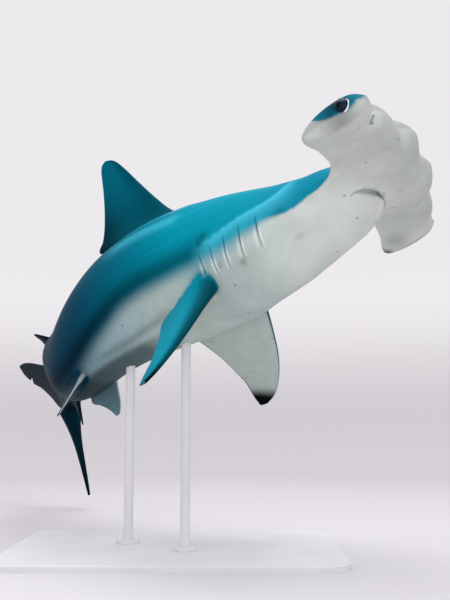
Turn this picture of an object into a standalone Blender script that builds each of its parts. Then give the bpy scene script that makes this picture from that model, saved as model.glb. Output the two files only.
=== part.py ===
# A scalloped hammerhead shark, life size, as a still model on a plain display stand.
#
# Metres, +Z up. The origin is the middle of the base's underside, and the shark's trunk heads
# towards +X. The shark's own sizes are shares of TOTAL_LENGTH. A station is the distance behind
# the snout along the midline, side is to the animal's left, and up is towards its back. place()
# turns the three into a point in the world, so every piece bends with the midline.

import math

import bmesh
import bpy
import numpy as np

TOTAL_LENGTH = 2.5
GAP = 0.0003

# Pose. The pivot is the point of the midline under the start of the first dorsal fin.
PIVOT_STATION = 0.30
PIVOT_PLACE = (0.0, -0.05, 0.71)
TRUNK_HEADING = -35.9
TRUNK_CLIMB = 13.9
TRUNK_BANK = 0.3
# Station and degrees. The head and the tail both turn to the animal's left.
LEFT_TURN = (
    (0.05, 26.5), (0.18, -8.5), (0.30, 0), (0.42, -12.5), (0.54, -31.7), (0.64, -44.3), (0.735, -43.8),
    (0.85, -31.0),
)
NOSE_UP = (
    (0.05, 26.5), (0.18, -4.5), (0.30, 0), (0.45, 13.6), (0.55, -10.3), (0.65, 8.9), (0.75, 0.5),
    (0.88, 11.0),
)
ROLL = ((0.05, -8), (0.30, 0), (0.50, -3.4), (0.61, 18.2), (0.72, 6.6))
HEAD_HINGE = 0.10

# Trunk: station with the section's depth and width.
NECK = 0.115
DEPTH = (
    (0.10, 0.078), (0.14, 0.098), (0.18, 0.115), (0.22, 0.130), (0.26, 0.139), (0.30, 0.141),
    (0.36, 0.136), (0.42, 0.125), (0.48, 0.111), (0.54, 0.093), (0.60, 0.071), (0.66, 0.049),
    (0.70, 0.038), (0.74, 0.034), (0.78, 0.028),
)
WIDTH = (
    (0.10, 0.073), (0.14, 0.079), (0.18, 0.089), (0.22, 0.099), (0.26, 0.104), (0.30, 0.105),
    (0.36, 0.099), (0.42, 0.089), (0.48, 0.077), (0.54, 0.063), (0.60, 0.048), (0.66, 0.033),
    (0.70, 0.026), (0.74, 0.021), (0.78, 0.010),
)
SECTION_ROUNDNESS = 2.15
GILLS_END, TRUNK_MIDDLE_END, TRUNK_REAR_END, TAIL_STOCK_END = 0.235, 0.42, 0.58, 0.735
RING_SPACING = 0.0135
TAIL_STUB = 0.045
RING_POINTS = 32

# Gill slits: station, and the top and bottom as shares of the half depth.
GILL_SLITS = (
    (0.153, 0.22, -0.42), (0.1695, 0.14, -0.45), (0.1865, 0.05, -0.50), (0.201, 0.01, -0.50),
    (0.2135, -0.10, -0.45),
)
GILL_FLAP_RISE = 0.0022
GILL_SLIT_SINK = 0.0022
GILL_FLAP_LIP = 0.0012
GILL_SLIT_WIDTH = 0.0030

# Head, seen from above: share of the half width with the front edge's station, then the distance
# from the middle with the rear edge's station.
HEAD_WIDTH = 0.273
FRONT_EDGE = (
    (0.0, 0.0065), (0.07, 0.0030), (0.20, 0.0), (0.32, 0.0025), (0.42, 0.0125), (0.50, 0.0125),
    (0.62, 0.0145), (0.76, 0.0205), (0.86, 0.0315), (0.91, 0.0245), (0.965, 0.0235), (1.0, 0.031),
)
REAR_EDGE = (
    (0.0, 0.115), (0.0355, 0.115), (0.0385, 0.107), (0.044, 0.094), (0.053, 0.083), (0.072, 0.0755),
    (0.100, 0.0775), (0.1275, 0.083), (0.1335, 0.081), (0.1365, 0.070),
)
FRONT_LINE = ((0.0, -0.002), (0.35, -0.001), (0.60, 0.005), (0.86, 0.017), (1.0, 0.023))
FRONT_ROUNDING = 0.012
HEAD_THICKNESS = ((0.0, 0.040), (0.30, 0.039), (0.60, 0.034), (0.85, 0.030), (0.96, 0.026), (1.0, 0.016))
# The shares of that thickness above and below the head's middle plane, in halves.
HEAD_ABOVE = ((0.0, 1.0), (0.60, 1.0), (0.85, 1.05), (1.0, 1.05))
HEAD_BELOW = ((0.0, 0.9), (0.60, 0.85), (0.85, 0.74), (1.0, 0.70))
HEAD_DROOP = ((0.0, 0.0), (0.35, 0.0), (0.70, -0.003), (1.0, -0.0065))
SNOUT_TOP = ((0.0, 0.0), (0.02, 0.010), (0.05, 0.020), (0.08, 0.031), (0.115, 0.0425))
SNOUT_BOTTOM = ((0.0, 0.0), (0.02, 0.010), (0.05, 0.018), (0.08, 0.031), (0.115, 0.0425))
SNOUT_WIDTH = ((0.0, 0.020), (0.04, 0.056), (0.07, 0.078), (0.09, 0.082), (0.105, 0.077), (0.115, 0.0758))
SNOUT_BLEND = 3.0
HEAD_EDGE = 0.0008
HEAD_SPAN_STEPS = 40
HEAD_CHORD_STEPS = 13

EYE_DIAMETER = 0.0155
EYE_STATION = 0.0425
EYE_OUT = 0.1322
EYE_UP = -0.003
LID_THICKNESS = 0.0022

MOUTH_STATION = 0.052
MOUTH_LENGTH = 0.024
MOUTH_WIDTH = 0.060
MOUTH_LINE = 0.0030
LIP_THICKNESS = 0.0080
LIP_STANDS_OUT = 0.0010
NOSTRIL_SHARE = 0.86
NOSTRIL_LENGTH = 0.012
NOSTRIL_WIDTH = 0.0032

FIN_EDGE = 0.0004
FIN_CHORD_STEPS = 8

# Fins. Each outline gives the distance out from the body with the distance back from the fin's
# origin, for the leading edge and then for the trailing edge with its free rear tip.
FIRST_DORSAL = {
    "station": 0.284, "base": 0.096, "thickness": 0.015,
    "lead": (
        (-0.024, -0.040), (0.0, -0.007), (0.008, 0.004), (0.03, 0.021), (0.06, 0.0405), (0.088, 0.0580),
        (0.100, 0.0670), (0.105, 0.0735), (0.107, 0.0795),
    ),
    "trail": (
        (-0.024, 0.093), (0.0, 0.101), (0.003, 0.118), (0.007, 0.120), (0.016, 0.1115), (0.045, 0.1005),
        (0.075, 0.0945), (0.098, 0.0915), (0.105, 0.0885), (0.107, 0.0845),
    ),
}
SECOND_DORSAL = {
    "station": 0.582, "base": 0.036, "thickness": 0.008,
    "lead": ((-0.012, -0.012), (0.0, 0.0), (0.012, 0.013), (0.024, 0.028), (0.030, 0.036)),
    "trail": (
        (-0.012, 0.036), (0.0, 0.037), (0.003, 0.072), (0.006, 0.074), (0.012, 0.059), (0.020, 0.047),
        (0.027, 0.044), (0.030, 0.042),
    ),
}
ANAL = {
    "station": 0.598, "base": 0.056, "thickness": 0.008,
    "lead": ((-0.012, -0.010), (0.0, 0.0), (0.014, 0.018), (0.026, 0.033), (0.032, 0.042)),
    "trail": (
        (-0.012, 0.055), (0.0, 0.057), (0.003, 0.078), (0.007, 0.080), (0.014, 0.062), (0.024, 0.050),
        (0.032, 0.047),
    ),
}
PECTORAL = {
    "base": 0.060, "thickness": 0.016,
    "lead": (
        (-0.020, -0.010), (0.0, 0.0), (0.04, 0.019), (0.08, 0.041), (0.112, 0.066), (0.126, 0.082),
        (0.132, 0.094),
    ),
    "trail": (
        (-0.020, 0.060), (0.0, 0.062), (0.009, 0.092), (0.016, 0.100), (0.028, 0.098), (0.055, 0.095),
        (0.090, 0.096), (0.120, 0.103), (0.132, 0.105),
    ),
}
PELVIC = {
    "base": 0.048, "thickness": 0.008,
    "lead": ((-0.014, -0.008), (0.0, 0.0), (0.016, 0.012), (0.032, 0.025), (0.040, 0.036)),
    "trail": (
        (-0.014, 0.048), (0.0, 0.050), (0.004, 0.068), (0.009, 0.070), (0.018, 0.058), (0.030, 0.048),
        (0.040, 0.044),
    ),
}
# Each paired fin's station, its side and height as shares of the half width and half depth, its
# droop below level, turn back and pitch in degrees, and the scale of its chord.
PECTORAL_SET = {
    "right": (0.209, -0.82, -0.52, -45, -25.5, 12, 0.93),
    "left": (0.219, 0.78, -0.58, -39.5, -5, 7.5, 1.03),
}
PELVIC_SET = {
    "right": (0.451, -0.71, -0.90, -52, -24, 4, 1.0),
    "left": (0.458, 0.54, -0.73, -69, -7.5, 14.5, 0.85),
}
SECOND_DORSAL_LEAN = 120
ANAL_LEAN = -102

# Tail fin, in the plane of the midline: the lobe's root, its angle, and the distance along the
# lobe with the height of its upper and lower margins.
UPPER_LOBE = {
    "root": (0.735, 0.002), "angle": 33.5, "thickness": 0.015, "flare": 0,
    "upper": (
        (0.012, 0.004), (0.05, 0.010), (0.12, 0.0135), (0.20, 0.010), (0.27, 0.003), (0.305, -0.005),
        (0.314, -0.009),
    ),
    "lower": (
        (0.012, -0.012), (0.05, -0.045), (0.09, -0.048), (0.14, -0.037), (0.20, -0.030), (0.232, -0.030),
        (0.239, -0.019), (0.252, -0.026), (0.285, -0.022), (0.308, -0.014), (0.314, -0.011),
    ),
}
LOWER_LOBE = {
    "root": (0.735, -0.004), "angle": -56.5, "thickness": 0.020, "flare": 0.9,
    "upper": (
        (0.010, 0.020), (0.03, 0.056), (0.05, 0.047), (0.08, 0.030), (0.12, 0.016), (0.15, 0.007),
        (0.158, 0.002),
    ),
    "lower": (
        (0.010, -0.004), (0.03, -0.006), (0.06, -0.007), (0.10, -0.009), (0.14, -0.007), (0.154, -0.004),
        (0.158, -0.002),
    ),
}
LOBE_FLARE_LENGTH = 0.045

# Display stand, in metres.
BASE_SIZE = (0.85, 0.60, 0.016)
BASE_CORNER = 0.06
BASE_EDGE = 0.003
ROD_RADIUS = 0.0125
ROD_FOOT_RADIUS = 0.032
ROD_FOOT_HEIGHT = 0.008
ROD_STATIONS = {"front": 0.303, "rear": 0.397}
ROD_SINK = 0.03

BACK_TEAL = (0.008, 0.122, 0.180)
FLANK_BLUE = (0.006, 0.060, 0.095)
TAIL_BLUE = (0.004, 0.018, 0.032)
BELLY_WHITE = (0.440, 0.500, 0.490)
EYE_BLACK = (0.004, 0.010, 0.020)
STAND_GREY = (0.60, 0.61, 0.63)


def smooth_curve(knots, level_ends=False):
    # A smooth curve through the knots that never overshoots between two of them.
    x, y = (np.array(column, float) for column in zip(*knots))
    step = np.diff(x)
    slope = np.diff(y) / step
    tangent = np.zeros(len(x))
    if not level_ends:
        tangent[0], tangent[-1] = slope[0], slope[-1]
    for i in range(1, len(x) - 1):
        if slope[i - 1] * slope[i] > 0:
            before, after = 2 * step[i] + step[i - 1], step[i] + 2 * step[i - 1]
            tangent[i] = (before + after) / (before / slope[i - 1] + after / slope[i])

    def curve(at):
        at = np.clip(at, x[0], x[-1])
        i = np.clip(np.searchsorted(x, at, side="right") - 1, 0, len(step) - 1)
        t = (at - x[i]) / step[i]
        rise = y[i + 1] - y[i]
        bend = (1 - t) * tangent[i] * step[i] - t * tangent[i + 1] * step[i]
        return y[i] + rise * t * t * (3 - 2 * t) + t * (1 - t) * bend

    return curve


def turn(heading, nose_up, roll):
    # The forward, left and up axes after a roll, then a lift of the nose, then a turn to the left.
    h, p, r = np.radians(heading), np.radians(nose_up), np.radians(roll)
    forward = np.stack([np.cos(p) * np.cos(h), np.cos(p) * np.sin(h), np.sin(p)], -1)
    level_left = np.stack([-np.sin(h), np.cos(h), np.zeros_like(h)], -1)
    level_up = np.cross(forward, level_left)
    cos_roll, sin_roll = np.cos(r)[..., None], np.sin(r)[..., None]
    left = level_left * cos_roll + level_up * sin_roll
    return np.stack([forward, left, np.cross(forward, left)], -2)


def midline(step=0.005):
    # Stations, points and axes along the midline, in the world.
    stations = np.arange(0, 1.05, step)
    bends = [smooth_curve(knots, level_ends=True)(stations) for knots in (LEFT_TURN, NOSE_UP, ROLL)]
    trunk = turn(*(np.array(angle, float) for angle in (TRUNK_HEADING, TRUNK_CLIMB, TRUNK_BANK)))
    axes = turn(*bends) @ trunk
    middles = (axes[1:, 0] + axes[:-1, 0]) / 2 * step * TOTAL_LENGTH
    points = np.vstack([np.zeros(3), -np.cumsum(middles, 0)])
    pivot = int(round(PIVOT_STATION / step))
    return stations, points - points[pivot] + np.array(PIVOT_PLACE), axes


MIDLINE_STATIONS, MIDLINE_POINTS, MIDLINE_AXES = midline()


def along_midline(values, station):
    flat = values.reshape(len(values), -1)
    found = [np.interp(station, MIDLINE_STATIONS, column) for column in flat.T]
    return np.stack(found, -1).reshape(np.shape(station) + values.shape[1:])


def place(station, side, up):
    # The head in front of its hinge is stiff.
    station, side, up = np.broadcast_arrays(np.asarray(station, float), side, up)
    hinge = np.maximum(station, HEAD_HINGE)
    axes = along_midline(MIDLINE_AXES, hinge)
    offsets = np.stack([hinge - station, side, up], -1) * TOTAL_LENGTH
    return along_midline(MIDLINE_POINTS, hinge) + np.einsum("...i,...ij->...j", offsets, axes)


depth_at = smooth_curve(DEPTH)
width_at = smooth_curve(WIDTH)


def round_share(angle, trig):
    value = trig(angle)
    return np.sign(value) * np.abs(value) ** (2 / SECTION_ROUNDNESS)


def gill_relief(station, up_share, on_side):
    # Each flap rises towards its free rear edge and drops sharply into the slit behind it.
    relief = np.zeros(np.broadcast(station, up_share).shape)
    previous = GILL_SLITS[0][0] - 0.018
    for slit, top, bottom in GILL_SLITS:
        across = np.clip((up_share - bottom) / (top - bottom), 0, 1)
        strength = np.sin(np.pi * across) ** 0.6 * on_side
        edge = slit - GILL_FLAP_LIP
        shape = np.interp(
            station,
            (previous + GILL_SLIT_WIDTH, edge, slit, slit + GILL_SLIT_WIDTH),
            (0, GILL_FLAP_RISE, -GILL_SLIT_SINK, 0),
            left=0,
            right=0,
        )
        relief += shape * strength
        previous = slit
    return relief


def trunk_ring(station, grown=0.0):
    angle = np.linspace(0, 2 * math.pi, RING_POINTS, endpoint=False) + math.pi / RING_POINTS
    side_share, up_share = round_share(angle, np.cos), round_share(angle, np.sin)
    relief = gill_relief(station, up_share, np.abs(side_share) > 0.5) + grown / TOTAL_LENGTH
    side = side_share * (width_at(station) / 2 + relief)
    up = up_share * (depth_at(station) / 2 + grown / TOTAL_LENGTH)
    return place(station, side, up)


def ring_stations(start, end):
    # Even steps, with lines of their own on each gill slit and on the edge of its flap.
    steps = max(2, round((end - start) / RING_SPACING))
    even = np.linspace(start, end, steps + 1)
    lines = []
    for slit, _, _ in GILL_SLITS:
        lines += [slit - GILL_FLAP_LIP - 0.004, slit - GILL_FLAP_LIP, slit, slit + GILL_SLIT_WIDTH]
    lines = np.array([line for line in lines if start < line < end])
    if len(lines):
        clear = np.abs(even[:, None] - lines[None]).min(1) > 0.003
        clear[[0, -1]] = True
        even = even[clear]
    return np.sort(np.concatenate([even, lines]))


def new_object(name, mesh, collection):
    made = bpy.data.objects.new(name, mesh)
    collection.objects.link(made)
    return made


def loft(name, rings, collection):
    # A closed body through rings of as many points each. The two halves of every ring are
    # divided into triangles alike, so that a thin bent piece never crosses itself.
    rings = np.asarray(rings)
    count = rings.shape[1]
    bm = bmesh.new()
    points = [[bm.verts.new(point) for point in ring] for ring in rings]
    for a, b in zip(points, points[1:]):
        for j in range(count):
            k = (j + 1) % count
            if j < count / 2:
                bm.faces.new((a[j], a[k], b[k]))
                bm.faces.new((a[j], b[k], b[j]))
            else:
                bm.faces.new((a[j], a[k], b[j]))
                bm.faces.new((a[k], b[k], b[j]))
    for ring in (points[0], points[-1]):
        bm.faces.new((ring[0], ring[1], ring[-1]))
        for j in range(1, (count - 1) // 2):
            bm.faces.new((ring[j], ring[j + 1], ring[-j - 1], ring[-j]))
        if count % 2 == 0:
            middle = count // 2
            bm.faces.new((ring[middle - 1], ring[middle], ring[middle + 1]))
    bmesh.ops.recalc_face_normals(bm, faces=bm.faces)
    bmesh.ops.triangulate(bm, faces=[face for face in bm.faces if len(face.verts) > 3])
    mesh = bpy.data.meshes.new(name)
    bm.to_mesh(mesh)
    bm.free()
    return new_object(name, mesh, collection)


def keep_largest(made):
    # Keeps the largest closed surface of a mesh.
    bm = bmesh.new()
    bm.from_mesh(made.data)
    left = set(bm.faces)
    surfaces = []
    while left:
        found, waiting = set(), [left.pop()]
        while waiting:
            face = waiting.pop()
            found.add(face)
            for edge in face.edges:
                for other in edge.link_faces:
                    if other in left:
                        left.remove(other)
                        waiting.append(other)
        surfaces.append(found)
    surfaces.sort(key=lambda faces: sum(face.calc_area() for face in faces))
    loose = [face for faces in surfaces[:-1] for face in faces]
    bmesh.ops.delete(bm, geom=loose, context="FACES")
    bm.to_mesh(made.data)
    bm.free()


def combine(made, operation, others, solver="EXACT"):
    # Joins the other bodies to this one, or cuts them from it, and leaves plain meshes.
    for other in others:
        modifier = made.modifiers.new(operation, "BOOLEAN")
        modifier.operation = operation
        modifier.object = other
        modifier.solver = solver
    evaluated = made.evaluated_get(bpy.context.evaluated_depsgraph_get())
    mesh = bpy.data.meshes.new_from_object(evaluated)
    made.modifiers.clear()
    made.data = mesh
    keep_largest(made)


def discard(objects):
    for other in objects:
        bpy.data.objects.remove(other)


def tube(name, points, thickness, collection):
    # A bent tube with filled ends, as a mesh.
    curve = bpy.data.curves.new(name, "CURVE")
    curve.dimensions = "3D"
    curve.bevel_depth = thickness / 2
    curve.bevel_resolution = 1
    curve.use_fill_caps = True
    spline = curve.splines.new("POLY")
    spline.points.add(len(points) - 1)
    for point, at in zip(spline.points, points):
        point.co = (*at, 1)
    drawn = new_object(name + "_curve", curve, collection)
    mesh = bpy.data.meshes.new_from_object(drawn.evaluated_get(bpy.context.evaluated_depsgraph_get()))
    bpy.data.objects.remove(drawn)
    bm = bmesh.new()
    bm.from_mesh(mesh)
    bmesh.ops.remove_doubles(bm, verts=bm.verts, dist=0.00001)
    bmesh.ops.recalc_face_normals(bm, faces=bm.faces)
    bm.to_mesh(mesh)
    bm.free()
    return new_object(name, mesh, collection)


def ball(name, centre, diameter, collection):
    bm = bmesh.new()
    bmesh.ops.create_uvsphere(bm, u_segments=16, v_segments=10, radius=diameter / 2)
    mesh = bpy.data.meshes.new(name)
    bm.to_mesh(mesh)
    bm.free()
    made = new_object(name, mesh, collection)
    made.location = centre
    return made


def finish(made, colour, roughness, metallic=0.0):
    material = bpy.data.materials.new(made.name)
    material.use_nodes = True
    shader = material.node_tree.nodes["Principled BSDF"]
    shader.inputs["Base Color"].default_value = (*colour, 1)
    shader.inputs["Roughness"].default_value = roughness
    shader.inputs["Metallic"].default_value = metallic
    made.data.materials.clear()
    made.data.materials.append(material)
    made.data.shade_smooth()
    made.data.set_sharp_from_angle(angle=math.radians(40))


def trunk_piece(name, start, end, colour, parts):
    rings = [trunk_ring(station) for station in ring_stations(start, end)]
    made = loft(name, rings, parts)
    finish(made, colour, 0.35)
    return made


def trunk_cutter(bounds, cutters):
    # The whole trunk, larger by the gap all round, on the same lines as its pieces.
    stations = np.unique(np.concatenate([ring_stations(start, end) for start, end in bounds]))
    rings = [trunk_ring(station, grown=1.3 * GAP) for station in stations]
    made = loft("trunk_cutter", rings, cutters)
    made.hide_render = True
    made.display_type = "WIRE"
    return made


front_edge = smooth_curve(FRONT_EDGE)
front_line = smooth_curve(FRONT_LINE)
rear_edge = smooth_curve(REAR_EDGE)
head_thickness = smooth_curve(HEAD_THICKNESS)
head_above = smooth_curve(HEAD_ABOVE)
head_below = smooth_curve(HEAD_BELOW)
head_droop = smooth_curve(HEAD_DROOP)
snout_top = smooth_curve(SNOUT_TOP)
snout_bottom = smooth_curve(SNOUT_BOTTOM)
snout_width = smooth_curve(SNOUT_WIDTH)


def wing_profile(chord_share):
    # Half the thickness of a wing section along its chord, as a share of its greatest thickness.
    u = chord_share
    return 5 * (0.2969 * np.sqrt(u) - 0.1260 * u - 0.3516 * u**2 + 0.2843 * u**3 - 0.1036 * u**4)


def head_surface(station, side):
    # The height of the head's top and bottom: a wide wing, joined smoothly to the snout and throat.
    out = np.abs(side)
    out_share = out / (HEAD_WIDTH / 2)
    front, line, rear = front_edge(out_share), front_line(out_share), rear_edge(out)
    chord_share = np.clip((station - line) / (rear - line), 0, 1)
    blunt = np.sqrt(np.clip(1 - (2 * chord_share - 1) ** 2, 0, 1)) / 2
    tip = np.clip((out_share - 0.75) / 0.25, 0, 1)
    profile = wing_profile(chord_share) * (1 - tip) + blunt * tip
    nose = np.clip((station - front) / FRONT_ROUNDING, 0, 1)
    rounding = np.sqrt(1 - (1 - nose) ** 2)
    wing = np.maximum(head_thickness(out_share) * profile * rounding, 0)
    inside = np.clip(1 - (out / (snout_width(station) / 2)) ** SECTION_ROUNDNESS, 0, 1)
    snout = inside ** (1 / SECTION_ROUNDNESS)
    heights = []
    for share, middle in ((head_above, snout_top), (head_below, snout_bottom)):
        sum_of_powers = (wing * share(out_share)) ** SNOUT_BLEND + (middle(station) * snout) ** SNOUT_BLEND
        heights.append(np.maximum(sum_of_powers ** (1 / SNOUT_BLEND), HEAD_EDGE))
    return head_droop(out_share) + heights[0], head_droop(out_share) - heights[1]


def head_section(side):
    out_share = abs(side) / (HEAD_WIDTH / 2)
    front = front_edge(out_share)
    rear = rear_edge(abs(side))
    share = (1 - np.cos(np.linspace(0.12, 1, HEAD_CHORD_STEPS) * math.pi)) / 2
    stations = front + (rear - front) * share
    top, bottom = head_surface(stations, np.full_like(stations, side))
    nose = place(front, side, head_droop(out_share))
    return np.vstack([nose[None], place(stations, side, top), place(stations, side, bottom)[::-1]])


def head_sides():
    # Even steps across the head, with closer ones where the neck leaves it and at the tips.
    half = HEAD_WIDTH / 2
    even = np.linspace(0, half, HEAD_SPAN_STEPS // 2 + 1)
    close = [knot for knot, _ in REAR_EDGE if 0.03 < knot < 0.06 or knot > 0.9 * half]
    even = np.array([out for out in even if min(abs(out - knot) for knot in close) > 0.002])
    outs = np.unique(np.concatenate([even, close]))
    return np.concatenate([-outs[:0:-1], outs])


def mouth_line(sunk):
    # The mouth is a wide arch that opens backwards, on the head's underside.
    t = np.linspace(-1, 1, 21)
    side = MOUTH_WIDTH / 2 * np.sin(t * math.pi / 2)
    station = MOUTH_STATION + MOUTH_LENGTH * (1 - np.cos(t * math.pi / 2))
    bottom = head_surface(station, side)[1]
    return place(station, side, bottom + sunk)


def nostril_line(sign):
    # A slit that runs inwards along the front edge from the notch before the tip.
    out = (NOSTRIL_SHARE * HEAD_WIDTH / 2) - np.linspace(0, NOSTRIL_LENGTH, 6)
    station = front_edge(out / (HEAD_WIDTH / 2)) + 0.0015
    return place(station, sign * out, head_surface(station + 0.003, sign * out)[1] * 0.7)


def eye_centre(sign):
    return place(EYE_STATION, sign * EYE_OUT, EYE_UP)


def lid_line(sign):
    # A ring round the eye, in the plane of the head's side.
    turn_round = np.linspace(0, 2 * math.pi, 25)
    radius = EYE_DIAMETER / 2 + 0.0004
    station = EYE_STATION + radius * np.cos(turn_round)
    return place(station, sign * (EYE_OUT + 0.0022), EYE_UP + radius * 0.86 * np.sin(turn_round))


def head_and_eyes(parts, cutters):
    head = loft("head", [head_section(side) for side in head_sides()], parts)
    lips = mouth_line(LIP_THICKNESS / 2 - LIP_STANDS_OUT)
    added = [tube("lips", lips, LIP_THICKNESS * TOTAL_LENGTH, cutters)]
    cut = [tube("mouth", mouth_line(0.0), MOUTH_LINE * TOTAL_LENGTH, cutters)]
    for name, sign in (("right", -1), ("left", 1)):
        added.append(tube("lid_" + name, lid_line(sign), LID_THICKNESS * TOTAL_LENGTH, cutters))
        cut.append(tube("nostril_" + name, nostril_line(sign), NOSTRIL_WIDTH * TOTAL_LENGTH, cutters))
        cut.append(ball("socket_" + name, eye_centre(sign), EYE_DIAMETER * TOTAL_LENGTH + 2 * GAP, cutters))
        eye = ball("eye_" + name, eye_centre(sign), EYE_DIAMETER * TOTAL_LENGTH, parts)
        finish(eye, EYE_BLACK, 0.08)
    combine(head, "UNION", added)
    combine(head, "DIFFERENCE", cut)
    discard(added + cut)
    finish(head, BELLY_WHITE, 0.35)


def fin_rings(shape, levels, to_world):
    # Wing sections from the sunk root to the tip.
    lead, trail = smooth_curve(shape["lead"]), smooth_curve(shape["trail"])
    span = shape["lead"][-1][0]
    share = (1 - np.cos(np.linspace(0, 1, FIN_CHORD_STEPS + 1) * math.pi)) / 2
    rings = []
    for out in levels:
        front, rear = lead(out), trail(out)
        slim = 1 - 0.85 * np.clip(out / span, 0, 1) ** 0.8
        flare = 1 + 0.8 * np.exp(-np.clip(out, 0, None) / (0.10 * span))
        half = wing_profile(share) * shape["thickness"] * slim * flare
        half = np.minimum(half, 0.30 * (rear - front)) + FIN_EDGE * (share > 0)
        along = front + (rear - front) * share
        upper = to_world(along, out, half)
        lower = to_world(along, out, -half)
        rings.append(np.vstack([upper, lower[:0:-1]]))
    return rings


def fin_levels(shape):
    # Closer at the free rear tip and towards the fin's own tip.
    span = shape["lead"][-1][0]
    low = np.array([level for level, _ in shape["trail"] if level < 0.25 * span])
    return np.concatenate([low, span * (0.25 + 0.75 * np.sin(np.linspace(0, 1, 9) * math.pi / 2))])


def fin_on_body(station, side, up, shape, droop, turn_back=0.0, pitch=0.0, chord=1.0):
    # Maps a fin's own plane into the world. Its root is a straight line along the trunk.
    axes = along_midline(MIDLINE_AXES, station + shape["base"] / 2)
    forward, left, dorsal = axes
    sign = 1.0 if side >= 0 else -1.0
    outwards = sign * math.cos(math.radians(droop)) * left + math.sin(math.radians(droop)) * dorsal
    over = np.cross(outwards, forward) * sign
    tilt, angle = math.radians(pitch), math.radians(turn_back)
    back = over * math.sin(tilt) - forward * math.cos(tilt)
    over = over * math.cos(tilt) + forward * math.sin(tilt)
    origin = place(station, side, up)

    def to_world(along, out, across):
        swept = chord * along + math.tan(angle) * max(out, 0.0)
        offset = swept[:, None] * back + out * outwards + across[:, None] * over
        return origin + offset * TOTAL_LENGTH

    return to_world


def fin(name, shape, to_world, cutter, colour, parts):
    made = loft(name, fin_rings(shape, fin_levels(shape), to_world), parts)
    combine(made, "DIFFERENCE", [cutter])
    finish(made, colour, 0.35)


def middle_fins(cutter, parts):
    for name, shape, droop, colour in (
        ("first_dorsal_fin", FIRST_DORSAL, 90, BACK_TEAL),
        ("second_dorsal_fin", SECOND_DORSAL, SECOND_DORSAL_LEAN, FLANK_BLUE),
        ("anal_fin", ANAL, ANAL_LEAN, FLANK_BLUE),
    ):
        station = shape["station"]
        up = math.copysign(depth_at(station) / 2, droop)
        to_world = fin_on_body(station, 0.0, up, shape, droop)
        fin(name, shape, to_world, cutter, colour, parts)


def paired_fins(cutter, parts):
    for kind, shape, settings in (("pectoral", PECTORAL, PECTORAL_SET), ("pelvic", PELVIC, PELVIC_SET)):
        for name, (station, side, up, *angles) in settings.items():
            side, up = side * width_at(station) / 2, up * depth_at(station) / 2
            to_world = fin_on_body(station, side, up, shape, *angles)
            fin(f"{kind}_fin_{name}", shape, to_world, cutter, BACK_TEAL, parts)


def lobe_rings(shape, grown=0.0):
    # Upright sections along a lobe of the tail fin, from its root to its tip.
    upper, lower = smooth_curve(shape["upper"]), smooth_curve(shape["lower"])
    start, end = shape["upper"][0][0], shape["upper"][-1][0]
    root, angle = np.array(shape["root"]), math.radians(shape["angle"])
    share = (1 - np.cos(np.linspace(0, 1, FIN_CHORD_STEPS + 1) * math.pi)) / 2
    notch = [level for level, _ in shape["lower"] if 0.70 < level / end < 0.85]
    even = start + (end - start) * np.sin(np.linspace(0, 1, 16) * math.pi / 2)
    levels = np.unique(np.concatenate([even, notch]))
    rings = []
    for out in levels:
        margins = (upper(out), lower(out)) if shape["angle"] > 0 else (lower(out), upper(out))
        across = margins[0] + (margins[1] - margins[0]) * share
        across += grown / TOTAL_LENGTH * np.sign(margins[0] - margins[1]) * (1 - 2 * share)
        slim = 1 - 0.85 * ((out - start) / (end - start)) ** 0.7
        flare = 1 + shape["flare"] * math.exp(-(((out - start) / LOBE_FLARE_LENGTH) ** 2))
        half = wing_profile(share) * shape["thickness"] * slim * flare
        half = np.minimum(half, 0.30 * abs(margins[1] - margins[0])) + FIN_EDGE * (share > 0)
        half += grown / TOTAL_LENGTH * (share > 0)
        station = root[0] + out * math.cos(angle) - across * math.sin(angle)
        height = root[1] + out * math.sin(angle) + across * math.cos(angle)
        rings.append(np.vstack([place(station, half, height), place(station, -half, height)[:0:-1]]))
    return rings


def tail_fin(parts, cutters):
    # The end of the tail stock carries the upper lobe, and the lower lobe stands off it.
    start, end = TAIL_STOCK_END + GAP / TOTAL_LENGTH, TAIL_STOCK_END + TAIL_STUB
    stations = np.linspace(start, end, 5)
    bodies = {}
    for grown in (0.0, 1.3 * GAP):
        stub = loft("caudal_fin_upper_lobe", [trunk_ring(station, grown) for station in stations], parts)
        lobe = loft("upper_lobe", lobe_rings(UPPER_LOBE, grown), cutters)
        combine(stub, "UNION", [lobe])
        discard([lobe])
        bodies[grown] = stub
    upper, cutter = bodies.values()
    lower = loft("caudal_fin_lower_lobe", lobe_rings(LOWER_LOBE), parts)
    combine(lower, "DIFFERENCE", [cutter])
    discard([cutter])
    upper.name = "caudal_fin_upper_lobe"
    for made in (upper, lower):
        finish(made, TAIL_BLUE, 0.35)


def rounded_plate(name, size, corner, edge, parts):
    bm = bmesh.new()
    bmesh.ops.create_cube(bm, size=1)
    bmesh.ops.scale(bm, vec=size, verts=bm.verts)
    bmesh.ops.translate(bm, vec=(0, 0, size[2] / 2), verts=bm.verts)
    upright = [e for e in bm.edges if abs(e.verts[0].co.z - e.verts[1].co.z) > size[2] / 2]
    bmesh.ops.bevel(bm, geom=upright, offset=corner, segments=8, profile=0.5, affect="EDGES")
    rim = [e for e in bm.edges if min(v.co.z for v in e.verts) > size[2] - 0.0001]
    bmesh.ops.bevel(bm, geom=rim, offset=edge, segments=2, profile=0.5, affect="EDGES")
    mesh = bpy.data.meshes.new(name)
    bm.to_mesh(mesh)
    bm.free()
    made = new_object(name, mesh, parts)
    finish(made, STAND_GREY, 0.5, 0.0)
    return made


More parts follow.
